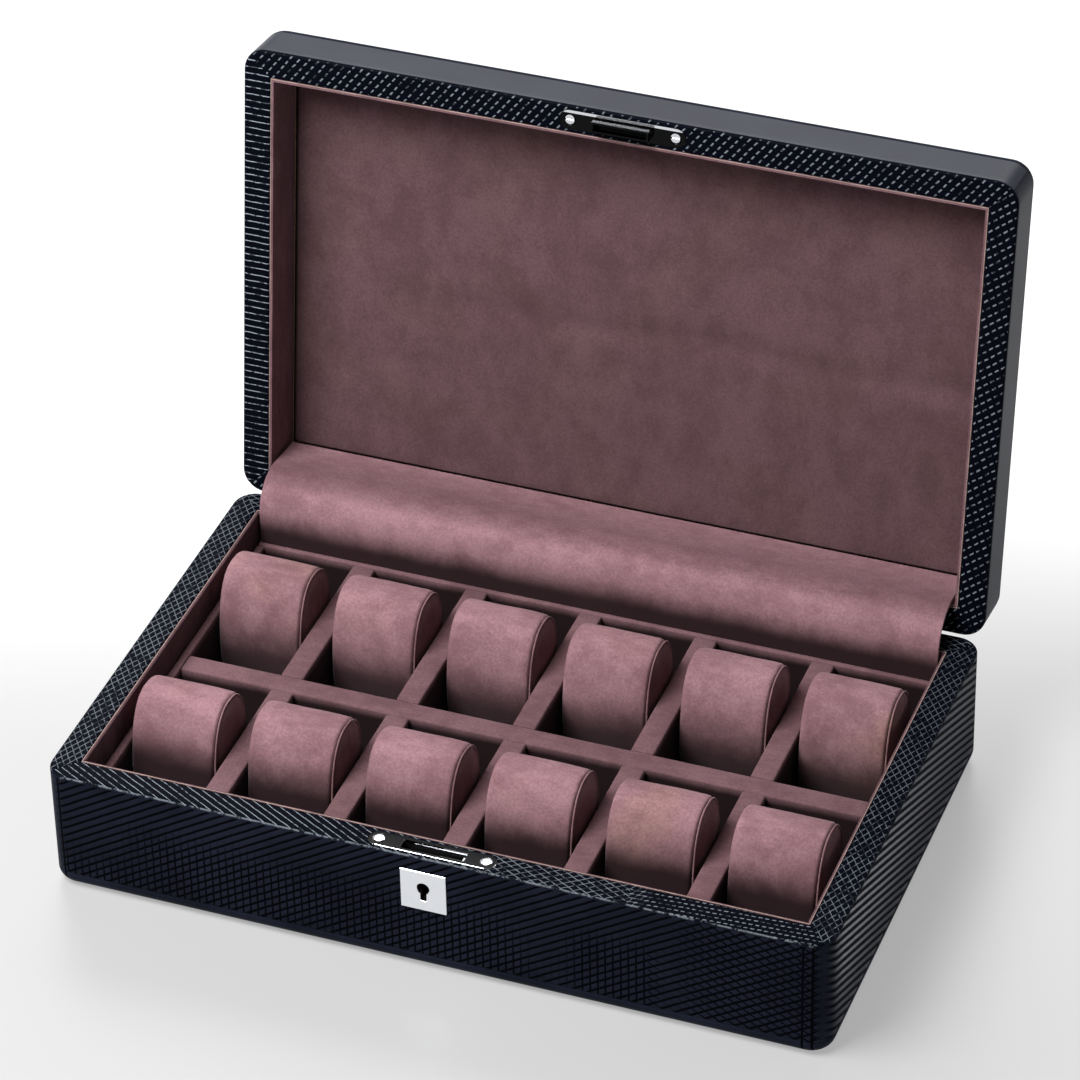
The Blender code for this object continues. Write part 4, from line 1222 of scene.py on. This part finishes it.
class WATCHBOX_OT_stage(Operator):
    """Set up the floor, the lights and the camera"""
    bl_idname = "watchbox.stage"
    bl_label = "Studio Stage"

    FLOOR_HALF = 6.0
    GLOW_SLANT = 0.30
    GLOW_NEAR, GLOW_FAR = 0.02, 0.30
    AIM = Vector((0.0, 0.0, 0.08))

    def execute(self, context):
        settings = context.scene.watchbox_stage
        self.camera(context, settings)
        self.floor(settings)
        self.lights(context, settings)
        return {"FINISHED"}

    def camera(self, context, settings):
        a, e, r = settings.azimuth, settings.elevation, settings.roll
        back = Vector((math.sin(a) * math.cos(e), -math.cos(a) * math.cos(e), math.sin(e)))
        right = (-back).cross(Vector((0, 0, 1))).normalized()
        up = right.cross(-back)
        across = math.cos(r) * right + math.sin(r) * up
        upward = math.cos(r) * up - math.sin(r) * right
        lens = bpy.data.cameras.new("camera")
        lens.lens = settings.lens
        lens.sensor_width = 36.0
        lens.clip_end = 20.0
        camera = bpy.data.objects.new("camera", lens)
        place = Matrix.Translation(Vector(settings.target) + back * settings.distance)
        camera.matrix_world = place @ Matrix((across, upward, back)).transposed().to_4x4()
        context.scene.collection.objects.link(camera)
        context.scene.camera = camera

    def floor(self, settings):
        """A pale table that gives off more light towards the back."""
        bm = bmesh.new()
        bmesh.ops.create_grid(bm, x_segments=1, y_segments=1, size=self.FLOOR_HALF)
        finish = Finish("studio_floor", specular_ior_level=0.4, emission_strength=1.0)
        haze = finish.noise(0.4, 2.0)
        tone = finish.mix(haze, settings.floor_tone, scaled(settings.floor_tone, 0.97))
        depth = finish.axis("Y") - finish.axis("X") * self.GLOW_SLANT
        glow = finish.mix(finish.smooth(depth, self.GLOW_NEAR, self.GLOW_FAR),
                          *[(glow, glow, glow) for glow in (settings.near_glow, settings.far_glow)])
        floor = add_object("floor", bm)
        floor.data.materials.append(finish.surface(base_color=tone, roughness=0.30 + haze * 0.1,
                                                   emission_color=glow))

    def lights(self, context, settings):
        context.scene.view_settings.view_transform = "Standard"
        world = bpy.data.worlds.new("studio")
        world.use_nodes = True
        sky = world.node_tree.nodes["Background"]
        sky.inputs["Color"].default_value = (1.0, 1.0, 1.0, 1.0)
        sky.inputs["Strength"].default_value = settings.sky
        context.scene.world = world
        for name, place, size, power in (
                ("key_light", (-0.50, -0.55, 1.30), (0.8, 0.8), settings.key_power),
                ("side_light", (1.3, 0.5, 0.6), (0.9, 0.6), settings.side_power),
                ("back_light", (-0.6, 2.0, 1.7), (2.4, 1.2), settings.back_power)):
            data = bpy.data.lights.new(name, "AREA")
            data.shape = "RECTANGLE"
            data.size, data.size_y = size
            data.energy = power
            light = bpy.data.objects.new(name, data)
            light.location = place
            light.rotation_euler = (self.AIM - Vector(place)).to_track_quat("-Z", "Y").to_euler()
            context.scene.collection.objects.link(light)


# Add-on

GROUPS = {
    "watchbox_leather": LeatherSettings,
    "watchbox_suede": SuedeSettings,
    "watchbox_cushion": CushionSettings,
    "watchbox_metal": MetalSettings,
    "watchbox_stage": StageSettings,
}
STEPS = (WATCHBOX_OT_stage, WATCHBOX_OT_leather, WATCHBOX_OT_woodwork, WATCHBOX_OT_tray,
         WATCHBOX_OT_lid_pad, WATCHBOX_OT_gusset, WATCHBOX_OT_cushions, WATCHBOX_OT_hardware)


class WATCHBOX_PT_panel(Panel):
    """Every step and setting of the watch box"""
    bl_idname = "WATCHBOX_PT_panel"
    bl_label = "Watch Box"
    bl_space_type = "VIEW_3D"
    bl_region_type = "UI"
    bl_category = "Watch Box"

    def draw(self, context):
        for step in STEPS:
            self.layout.operator(step.bl_idname)
        for name in GROUPS:
            group = getattr(context.scene, name)
            box = self.layout.box()
            box.label(text=group.__class__.__doc__)
            for item in group.__annotations__:
                box.prop(group, item)


CLASSES = (*GROUPS.values(), *STEPS, WATCHBOX_PT_panel)


def register():
    for made in CLASSES:
        bpy.utils.register_class(made)
    for name, group in GROUPS.items():
        setattr(bpy.types.Scene, name, PointerProperty(type=group))


def unregister():
    for name in GROUPS:
        delattr(bpy.types.Scene, name)
    for made in reversed(CLASSES):
        bpy.utils.unregister_class(made)


def main():
    register()
    for step in STEPS:
        group, action = step.bl_idname.split(".")
        getattr(getattr(bpy.ops, group), action)()


if __name__ == "__main__":
    main()
